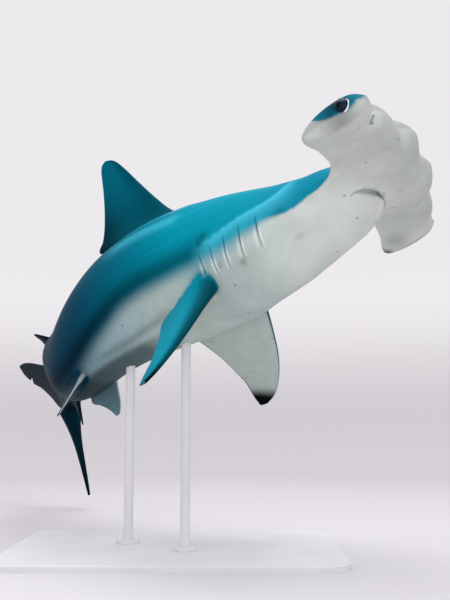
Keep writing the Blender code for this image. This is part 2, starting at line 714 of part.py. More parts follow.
def upright_cylinder(name, x, y, bottom, top, radius, collection):
    bm = bmesh.new()
    bmesh.ops.create_cone(
        bm, cap_ends=True, segments=32, radius1=radius, radius2=radius, depth=top - bottom
    )
    mesh = bpy.data.meshes.new(name)
    bm.to_mesh(mesh)
    bm.free()
    made = new_object(name, mesh, collection)
    made.location = (x, y, (bottom + top) / 2)
    return made


def stand(cutter, parts, cutters):
    rounded_plate("stand_base", BASE_SIZE, BASE_CORNER, BASE_EDGE, parts)
    bottom = BASE_SIZE[2] + GAP
    for name, station in ROD_STATIONS.items():
        belly = place(station, 0.0, -depth_at(station) / 2)
        rod = upright_cylinder(
            "stand_rod_" + name, belly[0], belly[1], bottom, belly[2] + ROD_SINK, ROD_RADIUS, parts
        )
        foot = upright_cylinder(
            "foot", belly[0], belly[1], bottom, bottom + ROD_FOOT_HEIGHT, ROD_FOOT_RADIUS, cutters
        )
        combine(rod, "UNION", [foot])
        combine(rod, "DIFFERENCE", [cutter])
        discard([foot])
        finish(rod, STAND_GREY, 0.5, 0.0)


def main():
    for old in list(bpy.data.objects):
        bpy.data.objects.remove(old)
    parts = bpy.data.collections.new("hammerhead_shark")
    cutters = bpy.data.collections.new("cutters")
    for collection in (parts, cutters):
        bpy.context.scene.collection.children.link(collection)
    step = GAP / TOTAL_LENGTH
    lengths = (
        ("throat_and_gills", NECK + step, GILLS_END, BELLY_WHITE),
        ("trunk_middle", GILLS_END + step, TRUNK_MIDDLE_END, BACK_TEAL),
        ("trunk_rear", TRUNK_MIDDLE_END + step, TRUNK_REAR_END, FLANK_BLUE),
        ("tail_stock", TRUNK_REAR_END + step, TAIL_STOCK_END, TAIL_BLUE),
    )
    for name, start, end, colour in lengths:
        trunk_piece(name, start, end, colour, parts)
    cutter = trunk_cutter([(start, end) for _, start, end, _ in lengths], cutters)
    head_and_eyes(parts, cutters)
    middle_fins(cutter, parts)
    paired_fins(cutter, parts)
    tail_fin(parts, cutters)
    stand(cutter, parts, cutters)


main()
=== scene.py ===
# A scalloped hammerhead shark, life size, on its display stand.
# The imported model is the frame. One skin is modelled over its body, fins and head.
import functools
import math

import bpy
import numpy as np
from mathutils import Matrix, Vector
from mathutils.bvhtree import BVHTree
from mathutils.kdtree import KDTree


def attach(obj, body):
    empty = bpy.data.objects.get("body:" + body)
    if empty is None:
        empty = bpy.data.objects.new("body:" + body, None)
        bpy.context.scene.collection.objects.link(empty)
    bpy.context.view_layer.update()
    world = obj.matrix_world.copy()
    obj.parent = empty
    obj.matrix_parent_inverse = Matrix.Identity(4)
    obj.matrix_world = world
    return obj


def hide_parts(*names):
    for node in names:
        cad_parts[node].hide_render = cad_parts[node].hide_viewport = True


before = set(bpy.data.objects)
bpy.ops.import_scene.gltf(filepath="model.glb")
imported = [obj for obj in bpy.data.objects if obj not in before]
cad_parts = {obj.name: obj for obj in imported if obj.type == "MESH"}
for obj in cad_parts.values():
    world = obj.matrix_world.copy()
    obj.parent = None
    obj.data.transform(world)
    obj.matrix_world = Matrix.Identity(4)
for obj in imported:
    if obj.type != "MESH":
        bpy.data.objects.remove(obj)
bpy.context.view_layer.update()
print("frame loaded:", len(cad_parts), "nodes")

# The pose and the main sizes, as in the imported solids. Stations run back from the snout along
# the midline. Lengths are shares of the animal's length, angles are in degrees.
body = {
    "length": 2.5,
    "pivotStation": 0.30,
    "pivotPlace": (0.0, -0.05, 0.71),
    "heading": -35.9,
    "climb": 13.9,
    "bank": 0.3,
    "leftTurn": ((0.05, 26.5), (0.18, -8.5), (0.30, 0), (0.42, -12.5), (0.54, -31.7), (0.64, -44.3),
                 (0.735, -43.8), (0.85, -31.0)),
    "noseUp": ((0.05, 26.5), (0.18, -4.5), (0.30, 0), (0.45, 13.6), (0.55, -10.3), (0.65, 8.9),
               (0.75, 0.5), (0.88, 11.0)),
    "roll": ((0.05, -8), (0.30, 0), (0.50, -3.4), (0.61, 18.2), (0.72, 6.6)),
    "headHinge": 0.10,
    "depth": ((0.10, 0.078), (0.14, 0.098), (0.18, 0.115), (0.22, 0.130), (0.26, 0.139), (0.30, 0.141),
              (0.36, 0.136), (0.42, 0.125), (0.48, 0.111), (0.54, 0.093), (0.60, 0.071), (0.66, 0.049),
              (0.70, 0.038), (0.74, 0.034), (0.78, 0.028)),
    "width": ((0.10, 0.073), (0.14, 0.079), (0.18, 0.089), (0.22, 0.099), (0.26, 0.104), (0.30, 0.105),
              (0.36, 0.099), (0.42, 0.089), (0.48, 0.077), (0.54, 0.063), (0.60, 0.048), (0.66, 0.033),
              (0.70, 0.026), (0.74, 0.021), (0.78, 0.010)),
    "roundness": 2.15,
}


def smoothCurve(knots, levelEnds=False):
    # a curve through the knots that never overshoots between two of them
    x, y = (np.array(column, float) for column in zip(*knots))
    step = np.diff(x)
    slope = np.diff(y) / step
    tangent = np.zeros(len(x))
    if not levelEnds:
        tangent[0], tangent[-1] = slope[0], slope[-1]
    for i in range(1, len(x) - 1):
        if slope[i - 1] * slope[i] > 0:
            before, after = 2 * step[i] + step[i - 1], step[i] + 2 * step[i - 1]
            tangent[i] = (before + after) / (before / slope[i - 1] + after / slope[i])

    def curve(at):
        at = np.clip(at, x[0], x[-1])
        i = np.clip(np.searchsorted(x, at, side="right") - 1, 0, len(step) - 1)
        t = (at - x[i]) / step[i]
        bend = (1 - t) * tangent[i] * step[i] - t * tangent[i + 1] * step[i]
        return y[i] + (y[i + 1] - y[i]) * t * t * (3 - 2 * t) + t * (1 - t) * bend

    return curve


def smoothStep(low, high, value):
    t = np.clip((value - low) / (high - low), 0, 1)
    return t * t * (3 - 2 * t)


def turned(heading, noseUp, roll):
    # the forward, left and up axes of a piece of the body
    h, p, r = np.radians(heading), np.radians(noseUp), np.radians(roll)
    forward = np.stack([np.cos(p) * np.cos(h), np.cos(p) * np.sin(h), np.sin(p)], -1)
    levelLeft = np.stack([-np.sin(h), np.cos(h), np.zeros_like(h)], -1)
    levelUp = np.cross(forward, levelLeft)
    left = levelLeft * np.cos(r)[..., None] + levelUp * np.sin(r)[..., None]
    return np.stack([forward, left, np.cross(forward, left)], -2)


def makeMidline(step=0.005):
    stations = np.arange(0, 1.05, step)
    bends = [smoothCurve(body[name], levelEnds=True)(stations) for name in ("leftTurn", "noseUp", "roll")]
    trunk = turned(*(np.array(body[name], float) for name in ("heading", "climb", "bank")))
    axes = turned(*bends) @ trunk
    middles = (axes[1:, 0] + axes[:-1, 0]) / 2 * step * body["length"]
    points = np.vstack([np.zeros(3), -np.cumsum(middles, 0)])
    pivot = int(round(body["pivotStation"] / step))
    return stations, points - points[pivot] + np.array(body["pivotPlace"]), axes


midStations, midPoints, midAxes = makeMidline()
depthAt, widthAt = smoothCurve(body["depth"]), smoothCurve(body["width"])


def alongMidline(values, station):
    flat = values.reshape(len(values), -1)
    found = [np.interp(station, midStations, column) for column in flat.T]
    return np.stack(found, -1).reshape(np.shape(station) + values.shape[1:])


def place(station, side, up):
    # body coordinates to a point in the world; the head before its hinge is stiff
    station, side, up = np.broadcast_arrays(np.asarray(station, float), side, up)
    hinge = np.maximum(station, body["headHinge"])
    axes = alongMidline(midAxes, hinge)
    offsets = np.stack([hinge - station, side, up], -1) * body["length"]
    return alongMidline(midPoints, hinge) + np.einsum("...i,...ij->...j", offsets, axes)


def deselectAll():
    if bpy.context.object and bpy.context.object.mode != "OBJECT":
        bpy.ops.object.mode_set(mode="OBJECT")
    bpy.ops.object.select_all(action="DESELECT")


def makeActive(piece):
    deselectAll()
    piece.select_set(True)
    bpy.context.view_layer.objects.active = piece


def closeAndPointOut(piece, mergeWithin=0.00003):
    # seams and poles are merged and the faces turned outwards
    makeActive(piece)
    bpy.ops.object.mode_set(mode="EDIT")
    bpy.ops.mesh.select_all(action="SELECT")
    bpy.ops.mesh.remove_doubles(threshold=mergeWithin)
    bpy.ops.mesh.normals_make_consistent(inside=False)
    bpy.ops.object.mode_set(mode="OBJECT")


def gridPiece(name, points):
    # a grid primitive whose rows are wrapped round the given sections
    rows, columns = points.shape[:2]
    deselectAll()
    bpy.ops.mesh.primitive_grid_add(x_subdivisions=columns - 1, y_subdivisions=rows - 1, size=1)
    piece = bpy.context.object
    piece.name = name
    piece.location = (0, 0, 0)
    piece.data.vertices.foreach_set("co", points.reshape(-1))
    piece.data.update()
    closeAndPointOut(piece)
    return piece


def applyModifier(piece, kind, **settings):
    makeActive(piece)
    modifier = piece.modifiers.new(kind.title(), kind)
    for name, value in settings.items():
        setattr(modifier, name, value)
    bpy.ops.object.modifier_apply(modifier=modifier.name)


def shadeSmooth(piece):
    makeActive(piece)
    bpy.ops.object.shade_smooth()


def coordinatesOf(piece):
    found = np.empty(len(piece.data.vertices) * 3)
    piece.data.vertices.foreach_get("co", found)
    return found.reshape(-1, 3)


def wrapped(upper, lower):
    # one closed section from its upper and lower lines, first point repeated at the end
    return np.concatenate([upper, lower[..., -2::-1, :]], -2)


# the coat's colours, with painted highlights and painted shade laid over them
coatAndPaintedLight = {
    # where the dark back meets the pale belly: station and share of the half depth
    "boundary": ((0.10, 0.08), (0.125, -0.01), (0.143, 0.04), (0.159, -0.03), (0.169, -0.08), (0.188, -0.17),
                 (0.22, -0.205), (0.25, -0.214), (0.28, -0.241), (0.308, -0.265), (0.34, -0.335),
                 (0.37, -0.470), (0.401, -0.585), (0.43, -0.690), (0.46, -0.77), (0.55, -0.80),
                 (0.70, -0.90)),
    # painted highlight: the band under the ridge line and the pale lines beside the groove, with painted
    # shadow in the groove
    "ridgeHighlight": 0.009,  # how far the bright band spreads under the ridge line
    "grooveHeight": 0.83,  # the groove beside the first dorsal fin's root, with a pale line on each side
    "grooveHighlight": 0.35,
    "grooveShade": 0.45,
    "darkBand": (0.014, 0.012, 0.60),  # height over the boundary, half width and strength
    # painted shade in the belly fold, under the belly and round the vent; the darkest value caps all the
    # darkening
    "foldShade": 0.38,
    "undersideShade": 0.68,
    "ventShade": 0.40,
    "darkest": 0.80,
    # bruises and scars: station, side, share of the half depth, size and strength
    "marks": ((0.125, -1, -0.56, 0.0022, 0.4), (0.173, -1, -0.46, 0.0035, 0.5),
              (0.198, -1, -0.36, 0.0025, 0.5), (0.215, -1, 0.19, 0.0045, 0.5),
              (0.222, -1, 0.12, 0.0035, 0.4), (0.131, -1, 0.10, 0.0030, 0.5),
              (0.137, -1, 0.07, 0.0025, 0.4), (0.225, -1, -0.34, 0.0030, 0.4)),
}
boundaryAt = smoothCurve(coatAndPaintedLight["boundary"])
surfaces = {}  # the points and painted values of each form, looked up again once they are one skin


def bothFaces(upper, lower):
    # painted values of a section's upper and lower lines, in the order of its points
    upper, lower = np.broadcast_arrays(upper, lower)
    return np.concatenate([upper, lower[..., -2::-1]], -1)


def remember(name, points, **values):
    flat = points.reshape(-1, 3)
    painted = {key: np.broadcast_to(value, points.shape[:-1]).reshape(-1) for key, value in values.items()}
    surfaces[name] = (flat, painted)


# Trunk, neck and snout.

trunk = {
    "pointsRound": 120,
    "snoutTop": ((0.0, 0.0), (0.02, 0.010), (0.05, 0.020), (0.08, 0.031), (0.115, 0.0425)),
    "snoutBottom": ((0.0, 0.0), (0.02, 0.010), (0.05, 0.021), (0.065, 0.029), (0.08, 0.034), (0.115, 0.0425)),
    "snoutWidth": ((0.0, 0.020), (0.04, 0.056), (0.07, 0.078), (0.09, 0.082), (0.105, 0.077),
                   (0.115, 0.0758)),
    "snoutEnd": 0.006,
    "neck": 0.115,
    "end": 0.778,
    "coarseStep": 0.0045,
    "gillStep": 0.0007,
}
gills = {
    # station at mid height, then the top and bottom as shares of the half depth
    "slits": ((0.1535, 0.19, -0.40), (0.1715, 0.15, -0.43), (0.1900, 0.06, -0.47), (0.2079, -0.02, -0.48),
              (0.2242, -0.08, -0.43)),
    "flapRise": 0.0015,
    "sink": 0.0032,
    "flapLength": 0.010,
    "width": 0.0013,
    "lean": ((0.16, 0.007), (0.19, 0.009), (0.225, 0.022)),
}
ridge = {
    # the line over the gills where the back steps in: station and share of the half depth
    "line": ((0.10, 0.95), (0.116, 0.80), (0.135, 0.50), (0.169, 0.32), (0.192, 0.18), (0.213, 0.08),
             (0.24, -0.02)),
    "step": 0.0016,
    "fade": 0.016,
}
fold = {
    # the crease along the belly from the pectoral to the pelvic fin, and the line under which the belly gets
    # painted shade
    "line": ((0.25, -0.62), (0.275, -0.655), (0.297, -0.684), (0.314, -0.709), (0.333, -0.747),
             (0.369, -0.791), (0.396, -0.795), (0.456, -0.80)),
    "underside": ((0.30, -0.835), (0.36, -0.87), (0.46, -0.885)),
    "depth": 0.0012,
    "width": 0.0035,
}
ridgeAt, foldAt, undersideFrom, gillLean = (
    smoothCurve(knots) for knots in (ridge["line"], fold["line"], fold["underside"], gills["lean"]))


def gillRelief(station, upShare):
    # each flap swells to its free edge, and the slit behind it drops sharply
    relief, crease, pale = (np.zeros(station.shape) for _ in range(3))
    for slit, top, bottom in gills["slits"]:
        across = np.clip((upShare - bottom) / (top - bottom), 0, 1)
        strength = np.sin(np.pi * across) ** 0.5
        behind = station - slit - 0.0012 * np.cos(np.pi * across)
        flap = np.clip(1 + behind / gills["flapLength"], 0, 1) ** 2 * (behind <= 0)
        trough = np.clip(1 - np.abs(behind - 0.4 * gills["width"]) / gills["width"], 0, 1)
        relief += strength * (gills["flapRise"] * flap - gills["sink"] * trough)
        # the trough of each slit is darkened as painted shade
        crease = np.maximum(crease, strength * trough * (0.35 + 0.65 * smoothStep(0.15, 0.6, across)))
        lip = np.exp(-((behind + 0.0016) / 0.0010) ** 2) + 0.8 * np.exp(-((behind - 0.0034) / 0.0012) ** 2)
        pale = np.maximum(pale, strength * lip * (1 - smoothStep(0.35, 0.75, across)))
    return relief, crease, pale


def trunkStations():
    slits = [slit for slit, _, _ in gills["slits"]]
    front = np.linspace(trunk["snoutEnd"], 0.140, 34)
    fine = np.arange(0.140, slits[-1] + 0.010, trunk["gillStep"])
    rear = np.arange(slits[-1] + 0.010, trunk["end"], trunk["coarseStep"])
    near = np.min([np.abs(fine - slit) for slit in slits], 0) < 0.0055
    keep = near | (np.arange(len(fine)) % 4 == 0)
    return np.concatenate([front[:-1], fine[keep], rear])


def makeTrunk():
    snoutTop, snoutBottom = smoothCurve(trunk["snoutTop"]), smoothCurve(trunk["snoutBottom"])
    snoutWidth = smoothCurve(trunk["snoutWidth"])
    station = trunkStations()[:, None]
    angle = np.linspace(0, 2 * math.pi, trunk["pointsRound"] + 1)[None]
    power = 2 / body["roundness"]
    sideShare = np.sign(np.cos(angle)) * np.abs(np.cos(angle)) ** power
    upShare = np.sign(np.sin(angle)) * np.abs(np.sin(angle)) ** power
    before = station < trunk["neck"]
    halfWidth = np.where(before, snoutWidth(station), widthAt(station)) / 2
    above = np.where(before, snoutTop(station), depthAt(station) / 2)
    below = np.where(before, snoutBottom(station), depthAt(station) / 2)
    inGills = smoothStep(0.125, 0.150, station) * (1 - smoothStep(0.226, 0.275, station))
    leaned = station + gillLean(station) * inGills * np.clip(upShare, -0.7, 0.4)
    relief, crease, pale = gillRelief(station + 0 * upShare, upShare)
    # below the ridge line the gill region stands out, and above it the back steps in
    under = (ridgeAt(leaned) - upShare) * above
    onRidge = smoothStep(0.108, 0.125, leaned) * (1 - smoothStep(0.205, 0.240, leaned))
    fading = np.exp(-np.clip(under, 0, 1) / ridge["fade"])
    relief += onRidge * ridge["step"] * smoothStep(-0.0015, 0.0025, under) * fading
    toFold = (upShare - foldAt(leaned)) * above
    onFold = smoothStep(0.270, 0.290, leaned) * (1 - smoothStep(0.390, 0.430, leaned))
    relief -= onFold * fold["depth"] * np.exp(-(toFold / fold["width"]) ** 2)
    onSide = smoothStep(0.30, 0.45, np.abs(sideShare))
    side = sideShare * (halfWidth + relief * onSide)
    up = np.where(upShare > 0, above, below) * upShare * (1 + 0.5 * relief * onSide / above)
    points = place(leaned, side, up)
    poles = [np.broadcast_to(points[i, :-1].mean(0), points[i].shape)[None] for i in (0, -1)]
    rise = (upShare - boundaryAt(leaned)) * depthAt(leaned) / 2
    # painted highlight: a bright band under the ridge line, and pale lines beside the groove
    glow = onRidge * smoothStep(-0.0010, 0.0015, under) * np.exp(-np.clip(under, 0, 1) / coatAndPaintedLight["ridgeHighlight"])
    groove = (upShare - coatAndPaintedLight["grooveHeight"]) * above
    onGroove = smoothStep(0.245, 0.265, leaned) * (1 - smoothStep(0.330, 0.365, leaned))
    sides = np.exp(-((groove + 0.010) / 0.006) ** 2) + np.exp(-((groove - 0.006) / 0.004) ** 2)
    glow += coatAndPaintedLight["grooveHighlight"] * onGroove * sides
    # painted shadow in the groove beside the first dorsal fin
    shade = coatAndPaintedLight["grooveShade"] * onGroove * np.exp(-(groove / 0.0022) ** 2)
    bandHeight, bandWidth, bandStrength = coatAndPaintedLight["darkBand"]
    shade += bandStrength * smoothStep(0.20, 0.24, leaned) * np.exp(-((rise - bandHeight) / bandWidth) ** 2)
    # painted shade in the belly fold, under the belly and round the vent
    shade += onFold * coatAndPaintedLight["foldShade"] * np.exp(-(toFold / 0.0032) ** 2)
    low = 1 - smoothStep(-0.035, 0.03, upShare - undersideFrom(leaned))
    shade += coatAndPaintedLight["undersideShade"] * smoothStep(0.29, 0.35, leaned) * low
    shade += coatAndPaintedLight["ventShade"] * smoothStep(0.44, 0.48, leaned) * (1 - smoothStep(-0.78, -0.62, upShare))
    # the scars and bruises are the skin's own colour, added to the same darkening
    for markStation, markSide, markUp, size, strength in coatAndPaintedLight["marks"]:
        away = np.hypot(leaned - markStation, (upShare - markUp) * above) + 1.0 * (sideShare * markSide < 0)
        shade += strength * np.exp(-(away / size) ** 2)
    shade = np.minimum(shade, coatAndPaintedLight["darkest"])
    remember("trunk", points, station=leaned, rise=rise, crease=crease * onSide, pale=pale * onSide,
             glow=glow, shade=shade)
    return gridPiece("trunk", np.concatenate([poles[0], points, poles[1]]))


# The head's wide wing.

wing = {
    "width": 0.273,
    "sections": 190,
    "crowding": 0.94,  # sections stand closer together towards the tips
    "chordPoints": 44,
    # share of the half width and the front edge's station, with lobes and notches
    "frontEdge": ((0.0, 0.0065), (0.07, 0.0030), (0.20, 0.0), (0.32, 0.0025), (0.41, 0.0125), (0.49, 0.0125),
                  (0.61, 0.0140), (0.72, 0.0175), (0.80, 0.0264), (0.86, 0.0225), (0.965, 0.0230),
                  (1.0, 0.031)),
    # distance from the middle and the rear edge's station
    "rearEdge": ((0.0, 0.107), (0.0385, 0.107), (0.044, 0.094), (0.053, 0.083), (0.072, 0.0755),
                 (0.100, 0.0775), (0.1275, 0.083), (0.1335, 0.081), (0.1365, 0.070)),
    "frontLine": ((0.0, -0.002), (0.35, -0.001), (0.60, 0.005), (0.86, 0.017), (1.0, 0.023)),
    "frontRounding": 0.012,
    "thickness": ((0.0, 0.040), (0.30, 0.039), (0.60, 0.034), (0.85, 0.030), (0.96, 0.026), (1.0, 0.016)),
    "above": ((0.0, 1.0), (0.60, 1.0), (0.85, 1.05), (1.0, 1.05)),
    "below": ((0.0, 0.9), (0.60, 0.85), (0.85, 0.74), (1.0, 0.70)),
    "droop": ((0.0, 0.0), (0.35, 0.0), (0.70, -0.003), (1.0, -0.0065)),
    "edge": 0.0008,
    "notches": (0.0, 0.42, 0.80),
    "furrow": 0.0016,
    "furrowWidth": 0.045,
    "furrowLength": 0.026,
    "paleFront": 0.0050,
    "paleRear": 0.0045,
    "tipLine": ((0.020, -0.0055), (0.0303, -0.0062), (0.0348, -0.0080), (0.040, -0.0095), (0.046, -0.0088),
                (0.058, -0.0062), (0.064, -0.0038), (0.070, 0.006), (0.09, 0.02)),
}
frontEdge, rearEdge, frontLine, tipLine = (
    smoothCurve(wing[name]) for name in ("frontEdge", "rearEdge", "frontLine", "tipLine"))
wingThickness, wingAbove, wingBelow, wingDroop = (
    smoothCurve(wing[name]) for name in ("thickness", "above", "below", "droop"))


def wingProfile(u):
    # half the thickness along a wing section, as a share of its greatest thickness
    return 5 * (0.2969 * np.sqrt(u) - 0.1260 * u - 0.3516 * u**2 + 0.2843 * u**3 - 0.1036 * u**4)


def wingHeights(station, side):
    out = np.abs(side)
    outShare = out / (wing["width"] / 2)
    front, line, rear = frontEdge(outShare), frontLine(outShare), rearEdge(out)
    share = np.clip((station - line) / (rear - line), 0, 1)
    blunt = np.sqrt(np.clip(1 - (2 * share - 1) ** 2, 0, 1)) / 2
    tip = np.clip((outShare - 0.75) / 0.25, 0, 1)
    profile = wingProfile(share) * (1 - tip) + blunt * tip
    nose = np.clip((station - front) / wing["frontRounding"], 0, 1)
    height = np.maximum(wingThickness(outShare) * profile * np.sqrt(1 - (1 - nose) ** 2), 0)
    furrow = np.zeros(np.shape(height))
    for notch in wing["notches"]:
        furrow += np.exp(-((outShare - notch) / wing["furrowWidth"]) ** 2)
    furrow *= wing["furrow"] * nose * np.exp(-((station - front) / wing["furrowLength"]) ** 2)
    tipRound = np.sqrt(np.clip(1 - np.clip((outShare - 0.955) / 0.045, 0, 1) ** 2, 0, 1))
    top = np.maximum(height * wingAbove(outShare) - 0.6 * furrow, wing["edge"]) * tipRound
    bottom = np.maximum(height * wingBelow(outShare) - furrow, wing["edge"]) * tipRound
    return wingDroop(outShare) + top, wingDroop(outShare) - bottom


def makeWing():
    half = wing["width"] / 2
    widest = math.pi / 2 * wing["crowding"]
    side = half * np.sin(np.linspace(-1, 1, wing["sections"]) * widest)[:, None] / math.sin(widest)
    share = (1 - np.cos(np.linspace(0, 1, wing["chordPoints"])[None] * math.pi)) / 2
    outShare = np.abs(side) / half
    front, rear = frontEdge(outShare), rearEdge(np.abs(side))
    station = front + (rear - front) * share
    top, bottom = wingHeights(station, side)
    ends = (share == 0) | (share == 1)
    middle = wingDroop(outShare)
    top, bottom = np.where(ends, middle, top), np.where(ends, middle, bottom)
    upper, lower = place(station, side, top), place(station, side, bottom)
    points = wrapped(upper, lower)
    # the tips close on their own middle line
    line = place(station, side, np.broadcast_to(middle, station.shape))
    first, last = (wrapped(line[i:i + 1], line[i:i + 1]) for i in (0, -1))
    # the back colour stops short of the front and rear edges, and at the tips it runs round the eye
    inset = np.minimum(station - front - wing["paleFront"], rear - station - wing["paleRear"])
    atTip = smoothStep(0.84, 0.92, outShare)
    upperRise = np.minimum(inset, 0.02) * (1 - atTip) + (top - tipLine(station)) * atTip
    lowerRise = -0.01 * (1 - atTip) + (bottom - tipLine(station)) * atTip
    rise = bothFaces(upperRise, lowerRise)
    # painted shade: the left tip's lower corner and a patch beside it, turned from the light; the top face is
    # a quarter darker, and both faces darker round the eye
    corner = smoothStep(0.072, 0.080, station) * smoothStep(0.116, 0.130, side)
    patch = np.exp(-((station - 0.066) / 0.012) ** 2 - ((side - 0.112) / 0.014) ** 2)
    nearEye = np.exp(-((station - 0.049) / 0.014) ** 2) * smoothStep(0.90, 0.98, outShare)
    shade = bothFaces(0.25 + 0.5 * nearEye, 0.80 * corner + 0.30 * patch + 0.45 * nearEye)
    remember("wing", points, station=bothFaces(station, station), rise=rise, shade=shade)
    return gridPiece("wing", np.concatenate([first, points, last]))


# Fins: distance out from the body with distance back, for the leading and trailing edges.

fins = {
    "first_dorsal": {
        "station": 0.284, "base": 0.096, "thickness": 0.015, "lean": 90, "levels": 46,
        "lead": ((-0.024, -0.040), (0.0, -0.007), (0.008, 0.004), (0.03, 0.021), (0.06, 0.0405),
                 (0.088, 0.0580), (0.100, 0.0670), (0.105, 0.0735), (0.107, 0.0795)),
        "trail": ((-0.024, 0.093), (0.0, 0.101), (0.003, 0.118), (0.007, 0.120), (0.016, 0.1115),
                  (0.045, 0.1005), (0.075, 0.0945), (0.098, 0.0915), (0.105, 0.0885), (0.107, 0.0845)),
    },
    "second_dorsal": {
        "station": 0.582, "base": 0.036, "thickness": 0.008, "lean": 120, "levels": 24,
        "lead": ((-0.012, -0.012), (0.0, 0.0), (0.012, 0.013), (0.024, 0.028), (0.030, 0.036)),
        "trail": ((-0.012, 0.036), (0.0, 0.037), (0.003, 0.072), (0.006, 0.074), (0.012, 0.059),
                  (0.020, 0.047), (0.027, 0.044), (0.030, 0.042)),
    },
    "anal": {
        "station": 0.598, "base": 0.056, "thickness": 0.008, "lean": -102, "levels": 24,
        "lead": ((-0.012, -0.010), (0.0, 0.0), (0.014, 0.018), (0.026, 0.033), (0.032, 0.042)),
        "trail": ((-0.012, 0.055), (0.0, 0.057), (0.003, 0.078), (0.007, 0.080), (0.014, 0.062),
                  (0.024, 0.050), (0.032, 0.047)),
    },
}
pectoral = {
    "base": 0.060, "thickness": 0.016, "levels": 52,
    "lead": ((-0.020, -0.010), (0.0, 0.0), (0.04, 0.019), (0.08, 0.041), (0.112, 0.066), (0.126, 0.082),
             (0.132, 0.094)),
    "trail": ((-0.020, 0.060), (0.0, 0.062), (0.009, 0.092), (0.016, 0.100), (0.028, 0.098), (0.055, 0.095),
              (0.090, 0.096), (0.120, 0.103), (0.132, 0.105)),
}
pelvic = {
    "base": 0.048, "thickness": 0.008, "levels": 26,
    "lead": ((-0.014, -0.008), (0.0, 0.0), (0.016, 0.012), (0.032, 0.025), (0.040, 0.036)),
    "trail": ((-0.014, 0.048), (0.0, 0.050), (0.004, 0.068), (0.009, 0.070), (0.018, 0.058), (0.030, 0.048),
              (0.040, 0.044)),
}
# the paired fins' own places and angles
fins["pectoral_right"] = dict(pectoral, station=0.209, side=-0.82, up=-0.52, lean=-45, turnBack=-25.5,
                              pitch=12, chord=0.93)
fins["pectoral_left"] = dict(pectoral, station=0.219, side=0.78, up=-0.58, lean=-39.5, turnBack=-5,
                             pitch=7.5, chord=1.03)
fins["pelvic_right"] = dict(pelvic, station=0.451, side=-0.71, up=-0.90, lean=-52, turnBack=-24, pitch=4)
fins["pelvic_left"] = dict(pelvic, station=0.458, side=0.54, up=-0.73, lean=-69, turnBack=-7.5, pitch=14.5,
                           chord=0.85)
finMesh = {"edge": 0.00035, "chordPoints": 22}  # half thickness at the edges, and points along a section


def finSections(form, lead, trail, levels):
    # wing sections from the sunk root to the tip, which closes on its middle line
    span = form["lead"][-1][0]
    share = (1 - np.cos(np.linspace(0, 1, finMesh["chordPoints"])[None] * math.pi)) / 2
    out = levels[:, None]
    front, rear = lead(out), trail(out)
    slim = 1 - 0.85 * np.clip(out / span, 0, 1) ** 0.8
    flare = 1 + 0.8 * np.exp(-np.clip(out, 0, None) / (0.10 * span))
    half = wingProfile(share) * form["thickness"] * slim * flare
    half = np.minimum(half, 0.30 * (rear - front)) + finMesh["edge"] * (share > 0)
    along = front + (rear - front) * share
    return along, out + 0 * along, half


def paintFin(name, chord, outShare, leading):
    # what the fin's upper and lower faces carry for their paint
    none = 0 * chord
    if "dorsal" in name or name == "anal":
        # painted shade darkens these fins along the leading edge, by the root and at the lower rear
        rearDark = smoothStep(0.50, 0.95, chord) * (1 - smoothStep(0.15, 0.75, outShare))
        rootDark = 0.35 * (1 - smoothStep(0.0, 0.8, outShare))
        shade = 0.12 + 0.45 * leading + (1 - leading) * rootDark + 0.35 * rearDark
        face = {"rise": none + 0.03, "shade": shade, "tip": none}
        return face, face
    # the dark coat, with painted shade, wraps a little way round the leading edge
    under = 0.12 if name.endswith("right") else 0.012
    lowerRise = 0.03 - 0.06 * smoothStep(0.3 * under, under, chord)
    if "pelvic" in name:
        edge = 1 - smoothStep(0.0, 0.10, 1 - chord)
        rim = np.exp(-(chord / 0.012) ** 2)
        # the right fin's lower face takes the dark back colour, a painted shade over its pale face
        nearSide = -0.03 if name.endswith("left") else 0.03
        return ({"rise": none + 0.03, "shade": 0.2 + none, "tip": none, "pale": 0.6 * rim},
                {"rise": none + nearSide, "shade": 0.30 * edge + 0.30 * (1 - outShare), "tip": none,
                 "pale": 0.6 * rim})
    tip = smoothStep(0.80, 0.93, outShare + 0.10 * (chord - 0.5))
    trailing = 1 - smoothStep(0.0, 0.05, 1 - chord)
    edge = trailing * smoothStep(0.45, 0.85, outShare)
    # painted shade along the upper face's leading edge, a little darker towards the tip
    upper = {"rise": none + 0.03, "shade": 0.80 * leading ** 1.5 + 0.2 * tip, "tip": none, "pale": none}
    wrap = 0.8 * (1 - smoothStep(0.5 * under, under, chord))
    return upper, {"rise": lowerRise, "shade": np.maximum(0.20 * trailing, wrap),
                   "tip": np.maximum(tip, 0.8 * edge), "pale": none}


